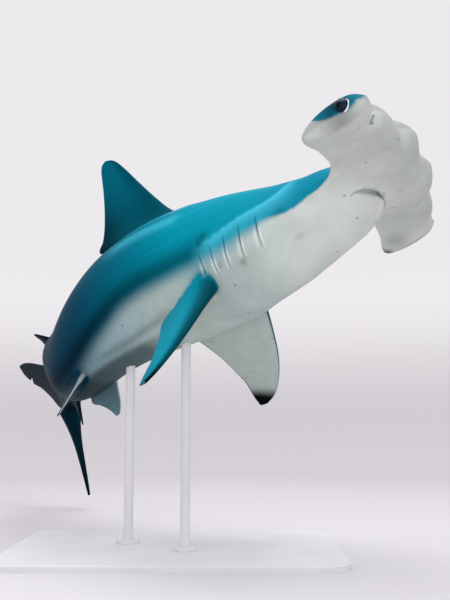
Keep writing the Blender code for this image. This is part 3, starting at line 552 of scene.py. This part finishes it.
def makeFin(name, form):
    lead, trail = smoothCurve(form["lead"]), smoothCurve(form["trail"])
    sink, span = form["lead"][0][0], form["lead"][-1][0]
    low = np.linspace(sink, 0.25 * span, form["levels"] // 2)
    high = span * (0.25 + 0.75 * np.sin(np.linspace(0, 1, form["levels"]) * math.pi / 2))
    levels = np.concatenate([low[:-1], high])
    side, up = form.get("side", 0.0), form.get("up", math.copysign(1.0, form["lean"]))
    station = form["station"]
    forward, left, dorsal = alongMidline(midAxes, station + form["base"] / 2)
    sign = 1.0 if side >= 0 else -1.0
    lean = math.radians(form["lean"])
    outwards = sign * math.cos(lean) * left + math.sin(lean) * dorsal
    over = np.cross(outwards, forward) * sign
    tilt = math.radians(form.get("pitch", 0.0))
    back, over = (over * math.sin(tilt) - forward * math.cos(tilt),
                  over * math.cos(tilt) + forward * math.sin(tilt))
    sweep = math.tan(math.radians(form.get("turnBack", 0.0)))
    origin = place(station, side * widthAt(station) / 2, up * depthAt(station) / 2)

    def toWorld(along, out, across):
        swept = form.get("chord", 1.0) * along + sweep * np.maximum(out, 0)
        return origin + body["length"] * (
            swept[..., None] * back + out[..., None] * outwards + across[..., None] * over)

    along, out, half = finSections(form, lead, trail, levels)
    points = wrapped(toWorld(along, out, half), toWorld(along, out, -half))
    root = np.broadcast_to(points[0].mean(0), points[0].shape)[None]
    tipLine = toWorld(along[-1:], out[-1:], 0 * half[-1:])
    chord = (along - along[:, :1]) / (along[:, -1:] - along[:, :1])
    outShare = out / span
    leading = 1 - smoothStep(0.0, 0.38, chord)
    upper, lower = paintFin(name, chord, outShare, leading)
    values = {key: bothFaces(lower[key], upper[key]) for key in upper}
    remember(name, points, station=station + form["base"] / 2 + 0 * bothFaces(chord, chord), **values)
    return gridPiece(name, np.concatenate([root, points, wrapped(tipLine, tipLine)]))


# Tail fin: distance out along each lobe with the height of its two margins.

tail = {
    "upper": {
        "root": (0.735, 0.002), "angle": 33.5, "thickness": 0.015, "flare": 0,
        "above": ((0.012, 0.004), (0.05, 0.010), (0.12, 0.0135), (0.20, 0.010), (0.27, 0.003),
                  (0.305, -0.005), (0.314, -0.009)),
        "below": ((0.012, -0.012), (0.05, -0.045), (0.09, -0.048), (0.14, -0.037), (0.20, -0.030),
                  (0.232, -0.030), (0.239, -0.019), (0.252, -0.026), (0.285, -0.022), (0.308, -0.014),
                  (0.314, -0.011)),
    },
    "lower": {
        "root": (0.735, -0.004), "angle": -56.5, "thickness": 0.020, "flare": 0.9,
        "above": ((0.010, 0.020), (0.03, 0.056), (0.05, 0.047), (0.08, 0.030), (0.12, 0.016), (0.15, 0.007),
                  (0.158, 0.002)),
        "below": ((0.010, -0.004), (0.03, -0.006), (0.06, -0.007), (0.10, -0.009), (0.14, -0.007),
                  (0.154, -0.004), (0.158, -0.002)),
    },
    "levels": 70,
    "flareLength": 0.045,
}


def makeLobe(name, form):
    above, below = smoothCurve(form["above"]), smoothCurve(form["below"])
    start, end = form["above"][0][0], form["above"][-1][0]
    angle = math.radians(form["angle"])
    share = (1 - np.cos(np.linspace(0, 1, finMesh["chordPoints"])[None] * math.pi)) / 2
    out = (start + (end - start) * np.sin(np.linspace(0, 1, tail["levels"]) * math.pi / 2))[:, None]
    margins = (above(out), below(out)) if form["angle"] > 0 else (below(out), above(out))
    across = margins[0] + (margins[1] - margins[0]) * share
    slim = 1 - 0.85 * ((out - start) / (end - start)) ** 0.7
    flare = 1 + form["flare"] * np.exp(-((out - start) / tail["flareLength"]) ** 2)
    half = wingProfile(share) * form["thickness"] * slim * flare
    half = np.minimum(half, 0.30 * np.abs(margins[1] - margins[0])) + finMesh["edge"] * (share > 0)
    station = form["root"][0] + out * math.cos(angle) - across * math.sin(angle)
    height = form["root"][1] + out * math.sin(angle) + across * math.cos(angle)
    points = wrapped(place(station, half, height), place(station, -half, height))
    root = np.broadcast_to(points[0].mean(0), points[0].shape)[None]
    tipLine = place(station[-1:], 0 * half[-1:], height[-1:])
    remember(name, points, station=0.735 + 0.2 * bothFaces(out / end + 0 * share, out / end + 0 * share),
             rise=0.03)
    return gridPiece(name, np.concatenate([root, points, wrapped(tipLine, tipLine)]))


print("forms")
skin = makeTrunk()
others = [makeWing()]
others += [makeFin(name, form) for name, form in fins.items()]
others += [makeLobe("upper_lobe", tail["upper"]), makeLobe("lower_lobe", tail["lower"])]
for other in others:
    applyModifier(skin, "BOOLEAN", operation="UNION", object=other, solver="MANIFOLD")
    bpy.data.objects.remove(other)
skin.name = "shark_skin"
print("one skin:", len(skin.data.vertices), "vertices")


# Roots of the fins and the neck are rounded over where two forms meet.

joints = {"fins": 0.026, "wing": 0.050, "finsPasses": 14, "wingPasses": 60}


def nearestValues(points, keep, reach=0.06):
    # for each point: its distance to each remembered form, and the nearest values there
    distances, values = {}, {}
    for name, (source, painted) in surfaces.items():
        close = np.all((points > source.min(0) - reach) & (points < source.max(0) + reach), 1)
        tree = KDTree(len(source))
        for i, at in enumerate(source):
            tree.insert(at, i)
        tree.balance()
        found = [tree.find(at)[1:] for at in points[close]]
        index, away = (np.array(column) for column in zip(*found))
        distances[name] = np.full(len(points), 1.0)
        distances[name][close] = away
        nearest = np.zeros(len(points), int)
        nearest[close] = index
        values[name] = {key: painted[key][nearest] for key in painted if key in keep}
    return distances, values


def softenJoints():
    points = coordinatesOf(skin)
    distances, _ = nearestValues(points, ())
    order = np.sort(np.stack(list(distances.values())), 0)
    fromWing = np.maximum(distances["wing"], distances["trunk"])
    nearWing = 1 - smoothStep(0.35 * joints["wing"], joints["wing"], fromWing)
    nearFin = 1 - smoothStep(0.3 * joints["fins"], joints["fins"], order[1])
    nearFin[distances["wing"] < 0.1] = 0
    for label, weight in (("wing", nearWing), ("fins", nearFin)):
        group = skin.vertex_groups.new(name=label)
        for step in range(1, 11):
            chosen = np.nonzero(np.round(weight * 10) == step)[0]
            group.add(chosen.tolist(), step / 10, "REPLACE")
        applyModifier(skin, "SMOOTH", factor=0.5, iterations=joints[label + "Passes"], vertex_group=label)
    skin.vertex_groups.clear()


softenJoints()
print("joints softened")


def colour(code):
    # an sRGB hex colour as the linear colour that nodes take
    parts = [int(code[i:i + 2], 16) / 255 for i in (1, 3, 5)]
    return tuple(c / 12.92 if c <= 0.04045 else ((c + 0.055) / 1.055) ** 2.4 for c in parts) + (1.0,)


def addNode(tree, kind, inputs, out=0, stops=(), **settings):
    # adds a node with its settings, values, links and ramp colours, and gives back one of its outputs
    node = tree.nodes.new("ShaderNode" + kind)
    for name, value in settings.items():
        setattr(node, name, value)
    for name, value in inputs.items():
        if isinstance(value, bpy.types.NodeSocket):
            tree.links.new(value, node.inputs[name])
        else:
            node.inputs[name].default_value = colour(value) if isinstance(value, str) else value
    for i, (position, code) in enumerate(stops):
        marks = node.color_ramp.elements
        mark = marks[0] if i == 0 else marks.new(position) if i < len(stops) - 1 else marks[-1]
        mark.position, mark.color = position, colour(code)
    return node.outputs[out] if len(node.outputs) else None


def emptyNodes(owner):
    # clears the nodes of a material or a world, and gives back addNode for its tree
    owner.use_nodes = True
    owner.node_tree.nodes.clear()
    return functools.partial(addNode, owner.node_tree)


skinLook = {
    # back and belly colours along the body; their darkening towards the tail is painted shade
    "back": ((0.0, "#0E7E96"), (0.13, "#12829B"), (0.17, "#0B8A9E"), (0.22, "#068AA0"), (0.26, "#02889E"),
             (0.30, "#00758B"), (0.36, "#00566C"), (0.39, "#004860"), (0.42, "#003E55"), (0.46, "#013950"),
             (0.55, "#022B3E"), (0.66, "#04202E"), (0.76, "#05222F"), (1.0, "#04131C")),
    "belly": ((0.0, "#AFB4B1"), (0.06, "#BEC3BF"), (0.10, "#C8D0CA"), (0.20, "#AAB8B5"), (0.28, "#B1BEB8"),
              (0.36, "#8FA8AB"), (0.46, "#6A8A92"), (0.55, "#3C5C66"), (1.0, "#0C2028")),
    # a painted highlight colour for the ridge and groove bands
    "glow": "#4FC4DE",
    "pale": "#E4ECEA",
    "tip": "#06080A",
    # painted shade inside the gill slits, along the mouth and in the nostrils
    "slit": "#123844",
    "fleck": "#3A3F3C",
    # sizes in millimetres
    "cloudSize": 142.86,
    "mottleSize": 18.182,
    "streakLength": 173.6,
    "streakWidth": 12.02,
    "fleckSpacing": 33.333,
    "fleckCore": 1.6667,
    "fleckRadius": 4.0,
    "grainSize": 6.6,  # the real scales are a tenth of a millimetre, so the grain is drawn coarser to show
    "grainHeight": 0.3,
    # half the width of the line between back and belly, at the throat and on the flank
    "sharpLine": 5.0,
    "softLine": 28.75,
}


def makeSkinFinish():
    # wet shark skin, smooth with fine tooth-like scales: a satin teal back over a milky belly
    material = bpy.data.materials.new("wet_scaled_skin")
    add, look, length = emptyNodes(material), skinLook, body["length"]
    at = add("TexCoord", {}, "Object")
    station, rise, shade, tip, glow, crease, pale = (
        add("Attribute", {}, "Fac", attribute_name=name)
        for name in ("station", "rise", "shade", "tip", "glow", "crease", "pale"))
    back, belly = (add("ValToRGB", {0: station}, stops=look[name]) for name in ("back", "belly"))

    # mottling: broad clouds, fine mottle, and streaks drawn out along the body
    clouds, mottle, grain = (
        add("TexNoise", {"Vector": at, "Scale": 1000 / look[size], "Detail": detail, "Roughness": rough})
        for size, detail, rough in (("cloudSize", 5.0, 0.62), ("mottleSize", 3.0, 0.7),
                                    ("grainSize", 3.0, 0.5)))
    alongBody, overBody = (
        add("Math", {0: value, 1: 1000 * length / look[size]}, operation="MULTIPLY")
        for value, size in ((station, "streakLength"), (rise, "streakWidth")))
    drawnOut = add("CombineXYZ", {"X": alongBody, "Y": overBody})
    streaks = add("TexNoise", {"Vector": drawnOut, "Scale": 1.0, "Detail": 5.0, "Roughness": 0.7})

    # the line between back and belly wanders, sharp at the throat and soft on the flank
    height = rise
    for noise, swing in ((clouds, 0.006), (mottle, 0.0024)):
        wander = add("Math", {0: noise, 1: swing, 2: -swing / 2}, operation="MULTIPLY_ADD")
        height = add("Math", {0: height, 1: wander}, operation="ADD")
    narrow, wide = (look[name] / 1000 / length for name in ("sharpLine", "softLine"))
    width = add("MapRange", {"Value": station, "From Min": 0.13, "From Max": 0.18, "To Min": narrow,
                             "To Max": wide})
    across = add("Math", {0: height, 1: width}, operation="DIVIDE")
    backShare = add("MapRange", {"Value": across, "From Min": -1.0}, interpolation_type="SMOOTHSTEP")

    # tones multiply the two colours
    toned = []
    for ground, noise, swing, fineSwing in ((belly, clouds, 0.60, 0.16), (back, streaks, 0.50, 0.20)):
        broad, fine = (
            add("Math", {0: value, 1: by, 2: 1 - by / 2}, operation="MULTIPLY_ADD")
            for value, by in ((noise, swing), (mottle, fineSwing)))
        tone = add("Math", {0: broad, 1: fine}, operation="MULTIPLY")
        toned.append(add("Mix", {0: 1.0, 6: ground, 7: tone}, 2, data_type="RGBA", blend_type="MULTIPLY"))
    belly, back = toned
    # painted highlight along the ridge and the groove
    back = add("Mix", {0: glow, 6: back, 7: look["glow"]}, 2, data_type="RGBA")

    # small dark flecks, about one in a hand's breadth, fainter on the back
    cells = {"Vector": at, "Scale": 1000 / look["fleckSpacing"]}
    fromCentre, cellColour = (add("TexVoronoi", cells, out) for out in ("Distance", "Color"))
    cellNumber = add("SeparateColor", {0: cellColour})
    picked = add("Math", {0: cellNumber, 1: 0.62}, operation="GREATER_THAN")
    core, edge = (look[name] / look["fleckSpacing"] for name in ("fleckCore", "fleckRadius"))
    spot = add("MapRange", {"Value": fromCentre, "From Min": core, "From Max": edge, "To Min": 0.6,
                            "To Max": 0.0}, interpolation_type="SMOOTHSTEP")
    spot = add("Math", {0: spot, 1: picked}, operation="MULTIPLY")
    onBelly = add("Math", {0: backShare, 1: -0.8, 2: 1.0}, operation="MULTIPLY_ADD")
    fleck, paleShare, creaseShare = (
        add("Math", {0: value, 1: share}, operation="MULTIPLY")
        for value, share in ((spot, onBelly), (pale, 0.75), (crease, 0.85)))
    # painted shade, with the skin's own scars and bruises, multiplies the colours
    lit = add("Math", {0: 1.0, 1: shade}, operation="SUBTRACT")

    # colours laid over the belly's: how each blends, its share and the colour
    # the slit colour is painted shade in gill slits, mouth and nostrils
    base = belly
    for blend, share, over in (("MIX", backShare, back), ("MIX", fleck, look["fleck"]),
                               ("MULTIPLY", 1.0, lit), ("MIX", paleShare, look["pale"]),
                               ("MIX", creaseShare, look["slit"]), ("MIX", tip, look["tip"])):
        base = add("Mix", {0: share, 6: base, 7: over}, 2, data_type="RGBA", blend_type=blend)
    bump = add("Bump", {"Strength": 0.25, "Distance": look["grainHeight"] / 1000, "Height": grain})
    surface = add("BsdfPrincipled", {"Base Color": base, "Normal": bump, "Roughness": 0.38,
                                     "Specular IOR Level": 0.008})
    add("OutputMaterial", {"Surface": surface})
    return material


# patches are a size in millimetres and the noise's detail; grain adds the bump's strength and height
plainLooks = {
    # wet flesh inside the mouth, in soft folds 11 mm apart: a dull pinkish grey
    "mouth_lining": {
        "dark": "#C4B4B4", "light": "#E6DCDC", "patches": (11.111, 3.0), "grain": (11.111, 3.0, 0.3, 1.0),
        "roughness": 0.45, "specular": 0.3,
    },
    # the hollow of a nostril, too deep for light to reach: near black in damp patches 8 mm across
    "nostril_hollow": {
        "dark": "#171B1D", "light": "#30373A", "patches": (8.3333, 2.0), "roughness": 0.7, "specular": 0.1,
    },
    # steel under a powder coat, sprayed in 200 mm passes and baked: pale satin with 4 mm orange peel
    "pale_powder_coat": {
        "dark": "#D3D4D7", "light": "#DEDFE1", "patches": (200, 3.0), "grain": (3.8462, 2.0, 0.12, 0.4),
        "roughness": 0.5, "specular": 0.35,
    },
}


def makePlainFinish(name):
    material = bpy.data.materials.new(name)
    add, look = emptyNodes(material), plainLooks[name]
    at = add("TexCoord", {}, "Object")
    size, detail = look["patches"]
    patches = add("TexNoise", {"Vector": at, "Scale": 1000 / size, "Detail": detail})
    tone = add("ValToRGB", {0: patches}, stops=((0.3, look["dark"]), (0.7, look["light"])))
    surface = {"Base Color": tone, "Roughness": look["roughness"], "Specular IOR Level": look["specular"]}
    if "grain" in look:
        size, detail, strength, height = look["grain"]
        grain = add("TexNoise", {"Vector": at, "Scale": 1000 / size, "Detail": detail})
        surface["Normal"] = add("Bump", {"Strength": strength, "Distance": height / 1000, "Height": grain})
    add("OutputMaterial", {"Surface": add("BsdfPrincipled", surface)})
    return material


def assign(piece, material):
    if not piece.data.materials:
        piece.data.materials.append(material)
    for i in range(len(piece.data.materials)):
        piece.data.materials[i] = material


assign(skin, makeSkinFinish())


# Mouth, nostrils and eyes. The eye's colours are given by distance from its pupil in millimetres.

mouth = {"station": 0.0521, "length": 0.0235, "width": 0.0515, "side": -0.0080, "gape": 0.0082,
         "depth": 0.0065, "farSideClosed": 0.88}
nostril = {"width": 0.0013, "path": ((0.0008, 0.1060), (0.0034, 0.1076), (0.0052, 0.1072), (0.0051, 0.1055))}
eye = {
    "diameter": 0.0155, "station": 0.0425, "out": 0.1322, "up": -0.003, "sunk": 0.0008, "lid": 0.0018,
    "pupil": (0.0022, 0.0060, 0.0018),  # back, outwards and up from the eye's place
    "colours": ((0, "#04090F"), (8, "#050B12"), (10, "#0E2638"), (20.1, "#0A1A28"), (20.9, "#E6ECEC"),
                (30, "#D5DCDC")),
    "reach": 50,
}
uncutSkin = BVHTree.FromObject(skin, bpy.context.evaluated_depsgraph_get())


def undersideAt(station, side):
    # the height of the skin's underside, found by a ray from below
    heights = np.empty(np.shape(station))
    for i in np.ndindex(heights.shape):
        start = Vector(place(station[i], side[i], -0.12))
        upwards = Vector(place(station[i], side[i], 0.0)) - start
        hit = uncutSkin.ray_cast(start, upwards.normalized())
        heights[i] = -0.12 + hit[3] / body["length"] if hit[0] is not None else -0.03
    return heights


def makeMouthCutter():
    # a crescent that widens from both corners, cut upwards into the head
    t = np.linspace(-1, 1, 81)
    side = mouth["side"] + mouth["width"] / 2 * np.sin(t * math.pi / 2)
    upper = mouth["station"] + mouth["length"] * (1 - np.cos(t * math.pi / 2))
    closed = mouth["farSideClosed"] * smoothStep(-0.54, 0.16, t)
    gape = mouth["gape"] * np.cos(t * math.pi / 2) ** 0.8 * (1 - closed)
    share = np.linspace(0, 1, 9)[None]
    station = upper[:, None] + (gape + 0.0006)[:, None] * share
    sides = np.broadcast_to(side[:, None], station.shape)
    height = undersideAt(station, sides)
    outer = place(station, sides, height - 0.003)
    deep = mouth["depth"] * np.cos(t * math.pi / 2)[:, None] ** 0.5 + 0.001
    inner = place(station + 0.4 * deep, sides, height + deep)
    points = np.concatenate([outer, inner[:, ::-1], outer[:, :1]], 1)
    first, last = (np.broadcast_to(points[i].mean(0), points[i].shape)[None] for i in (0, -1))
    surfaces["mouth"] = (place(upper, side, height[:, 0]), {})
    return gridPiece("mouth_cutter", np.concatenate([first, points, last]))


def tubeRings(centres, radius, across, pointsRound):
    # round sections along a bent line
    along = np.gradient(centres, axis=0)
    along /= np.linalg.norm(along, axis=1)[:, None]
    first = np.cross(along, across)
    first /= np.linalg.norm(first, axis=1)[:, None]
    second = np.cross(along, first)
    angle = np.linspace(0, 2 * math.pi, pointsRound + 1)[None, :, None]
    thickness = np.broadcast_to(np.asarray(radius, float), (len(centres),))[:, None, None]
    return centres[:, None] + thickness * (np.cos(angle) * first[:, None] + np.sin(angle) * second[:, None])


def makeNostrilCutter(sign):
    # a short slit beside the outer notch, hooked at its outer end
    t = np.linspace(0, 1, 30)
    along, out = (smoothCurve(tuple(zip(np.linspace(0, 1, len(column)), column)))(t)
                  for column in zip(*nostril["path"]))
    radius = nostril["width"] / 2 * body["length"] * np.sin((0.08 + 0.84 * t) * math.pi) ** 0.4
    along = along + frontEdge(out / (wing["width"] / 2))
    centres = place(along, sign * out, undersideAt(along, sign * out))
    known = surfaces.get("nostril", (centres, {}))[0]
    surfaces["nostril"] = (np.concatenate([known, centres]), {})
    rings = tubeRings(centres, radius, place(0.04, 0.0, 0.01) - place(0.04, 0.0, 0.0), 12)
    ends = [np.broadcast_to(centres[i], rings[0].shape)[None] for i in (0, -1)]
    return gridPiece("nostril_cutter", np.concatenate([ends[0], rings, ends[1]]))


def ballPiece(name, centre, radius):
    deselectAll()
    bpy.ops.mesh.primitive_uv_sphere_add(segments=64, ring_count=40, radius=radius, location=centre)
    piece = bpy.context.object
    piece.name = name
    bpy.ops.object.transform_apply(location=True, rotation=True, scale=True)
    return piece


def eyePlace(sign):
    return Vector(place(eye["station"], sign * (eye["out"] - eye["sunk"]), eye["up"]))


def makeLid(sign):
    # a soft ring of skin round the eye, in the plane of the head's side
    angle = np.linspace(0, 2 * math.pi, 73)[:-1]
    radius = eye["diameter"] / 2 * 0.97
    centres = place(eye["station"] + radius * 1.02 * np.cos(angle), sign * (eye["out"] + 0.0022),
                    eye["up"] + radius * 0.90 * np.sin(angle))
    closed = np.concatenate([centres[-1:], centres, centres[:1]])
    across = place(0.04, 0.01, 0.0) - place(0.04, 0.0, 0.0)
    rings = tubeRings(closed, eye["lid"] / 2 * body["length"], across, 16)[1:-1]
    return gridPiece("lid", np.concatenate([rings, rings[:1]]))


def cutHeadDetails():
    lining, hollow = makePlainFinish("mouth_lining"), makePlainFinish("nostril_hollow")
    cuts = [("UNION", makeLid(sign), skin.data.materials[0]) for sign in (-1, 1)]
    cuts.append(("DIFFERENCE", makeMouthCutter(), lining))
    for sign in (-1, 1):
        cuts.append(("DIFFERENCE", makeNostrilCutter(sign), hollow))
        socket = ballPiece("socket", eyePlace(sign), eye["diameter"] / 2 * body["length"] * 1.012)
        cuts.append(("DIFFERENCE", socket, hollow))
    for operation, cutter, finish in cuts:
        assign(cutter, finish)
        applyModifier(skin, "BOOLEAN", operation=operation, object=cutter, solver="MANIFOLD")
        bpy.data.objects.remove(cutter)


cutHeadDetails()
print("mouth, nostrils and eye sockets cut:", len(skin.data.vertices), "vertices")


def paintSkin():
    points = coordinatesOf(skin)
    # each painted value with its smoothing passes
    keys = {"station": 3, "rise": 3, "shade": 1, "tip": 1, "glow": 1, "crease": 0, "pale": 0}
    distances, values = nearestValues(points, keys)
    # near a root the paint fades from one form into the other
    parts = [name for name in surfaces if "station" in surfaces[name][1]]
    weights = np.stack([(distances[name] + 0.006) ** -3 * (distances[name] < 0.9) for name in parts])
    weights /= weights.sum(0)
    edges = np.empty(len(skin.data.edges) * 2, dtype=np.int32)
    skin.data.edges.foreach_get("vertices", edges)
    a, b = edges.reshape(-1, 2).T
    count = np.bincount(a, minlength=len(points)) + np.bincount(b, minlength=len(points))
    for key, passes in keys.items():
        value = sum(weight * values[name].get(key, 0.0) for weight, name in zip(weights, parts))
        # painted shade along the mouth and in the nostrils
        if key == "crease":
            for name, strength in (("mouth", 0.5), ("nostril", 0.9)):
                value = np.maximum(value, strength * np.exp(-(distances[name] / 0.0018) ** 2))
        for _ in range(passes):
            total = np.bincount(a, value[b], len(points)) + np.bincount(b, value[a], len(points))
            value = 0.4 * value + 0.6 * total / np.maximum(count, 1)
        layer = skin.data.attributes.new(key, "FLOAT", "POINT")
        layer.data.foreach_set("value", np.clip(value, -1, 1).astype(np.float32))


paintSkin()
shadeSmooth(skin)
print("skin painted")


def makeEyeFinish(sign):
    # wet eyeball: near black and glossy, with a white rim
    material = bpy.data.materials.new("wet_eye")
    add, (back, out, up), reach = emptyNodes(material), eye["pupil"], eye["reach"]
    pupil = place(eye["station"] + back, sign * (eye["out"] + out), eye["up"] + up)
    at = add("TexCoord", {}, "Object")
    away = add("VectorMath", {0: at, 1: tuple(pupil)}, "Value", operation="DISTANCE")
    share = add("Math", {0: away, 1: 1000 / reach}, operation="MULTIPLY")
    ball = add("ValToRGB", {0: share}, stops=[(away / reach, code) for away, code in eye["colours"]])
    surface = add("BsdfPrincipled", {"Base Color": ball, "Roughness": 0.12, "Specular IOR Level": 0.08})
    add("OutputMaterial", {"Surface": surface})
    return material


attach(skin, "root")
covered = [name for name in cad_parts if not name.startswith(("stand_", "eye_"))]
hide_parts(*covered)

for name, sign in (("right", -1), ("left", 1)):
    ball = ballPiece("eyeball_" + name, eyePlace(sign), eye["diameter"] / 2 * body["length"])
    shadeSmooth(ball)
    assign(ball, makeEyeFinish(sign))
    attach(ball, "root")
    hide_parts("eye_" + name)

standFinish = makePlainFinish("pale_powder_coat")
for name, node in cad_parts.items():
    if name.startswith("stand_"):
        assign(node, standFinish)
print("materials")


# Studio: a pale round sweep, soft lights and the camera.

studio = {
    "flat": 2.8, "fillet": 1.6, "height": 6.0, "steps": 16, "round": 96,
    "paper": "#D2D0D3", "light": "#F2EFF2", "glow": 0.95,
    # place, aim, size and power of each lamp
    "overhead": ((0.2, -0.3, 3.4), (0, 0, 0.6), 2.6, 70),
    "front_fill": ((0.6, -3.2, 0.9), (0, 0, 0.7), 1.8, 22),
}
photoView = {"place": (0.131, -2.238, 0.350), "tilt": 98, "lens": 49.79, "sensor": 36}


def makePaperFinish():
    # matt paper, lit evenly from behind above the floor, and clear from outside so that every view sees in
    material = bpy.data.materials.new("matt_paper_sweep")
    add = emptyNodes(material)
    height = add("SeparateXYZ", {"Vector": add("TexCoord", {}, "Object")}, "Z")
    rise = {"Value": height, "From Max": studio["fillet"]}
    wall = add("MapRange", rise, interpolation_type="SMOOTHSTEP")
    glow = add("MapRange", {**rise, "To Max": studio["glow"]}, interpolation_type="SMOOTHERSTEP")
    tone = add("Mix", {0: wall, 6: studio["paper"], 7: "#000000"}, 2, data_type="RGBA")
    paper = add("BsdfPrincipled", {"Base Color": tone, "Emission Color": studio["light"],
                                   "Emission Strength": glow, "Roughness": 0.9, "Specular IOR Level": 0.0})
    inside = add("NewGeometry", {}, "Backfacing")
    mixed = add("MixShader", {0: inside, 1: add("BsdfTransparent", {}), 2: paper})
    add("OutputMaterial", {"Surface": mixed})
    return material


def makeSweep():
    flat, fillet = studio["flat"], studio["fillet"]
    turn = np.linspace(0, math.pi / 2, studio["steps"])
    radius = np.concatenate([[0.0], flat + fillet * np.sin(turn), [flat + fillet]])[:, None]
    height = np.concatenate([[0.0], fillet * (1 - np.cos(turn)), [studio["height"]]])[:, None]
    angle = np.linspace(0, 2 * math.pi, studio["round"] + 1)[None]
    points = np.stack([radius * np.cos(angle), radius * np.sin(angle), height + 0 * angle], -1)
    sweep = gridPiece("studio_sweep", points)
    assign(sweep, makePaperFinish())
    shadeSmooth(sweep)
    return sweep


def softLight(name):
    at, towards, size, watts = studio[name]
    deselectAll()
    bpy.ops.object.light_add(type="AREA", location=at)
    lamp = bpy.context.object
    lamp.name = name
    lamp.data.size = size
    lamp.data.energy = watts
    lamp.rotation_euler = (Vector(towards) - Vector(at)).to_track_quat("-Z", "Y").to_euler()


sweep = makeSweep()
softLight("overhead")
softLight("front_fill")
world = bpy.data.worlds.new("pale_room")
add = emptyNodes(world)
add("OutputWorld", {"Surface": add("Background", {"Color": studio["light"], "Strength": studio["glow"]})})
bpy.context.scene.world = world
bpy.context.scene.view_settings.view_transform = "Standard"

deselectAll()
bpy.ops.object.camera_add(location=photoView["place"], rotation=(math.radians(photoView["tilt"]), 0, 0))
camera = bpy.context.object
camera.data.lens = photoView["lens"]
camera.data.sensor_width = photoView["sensor"]
bpy.context.scene.camera = camera

print("ready")
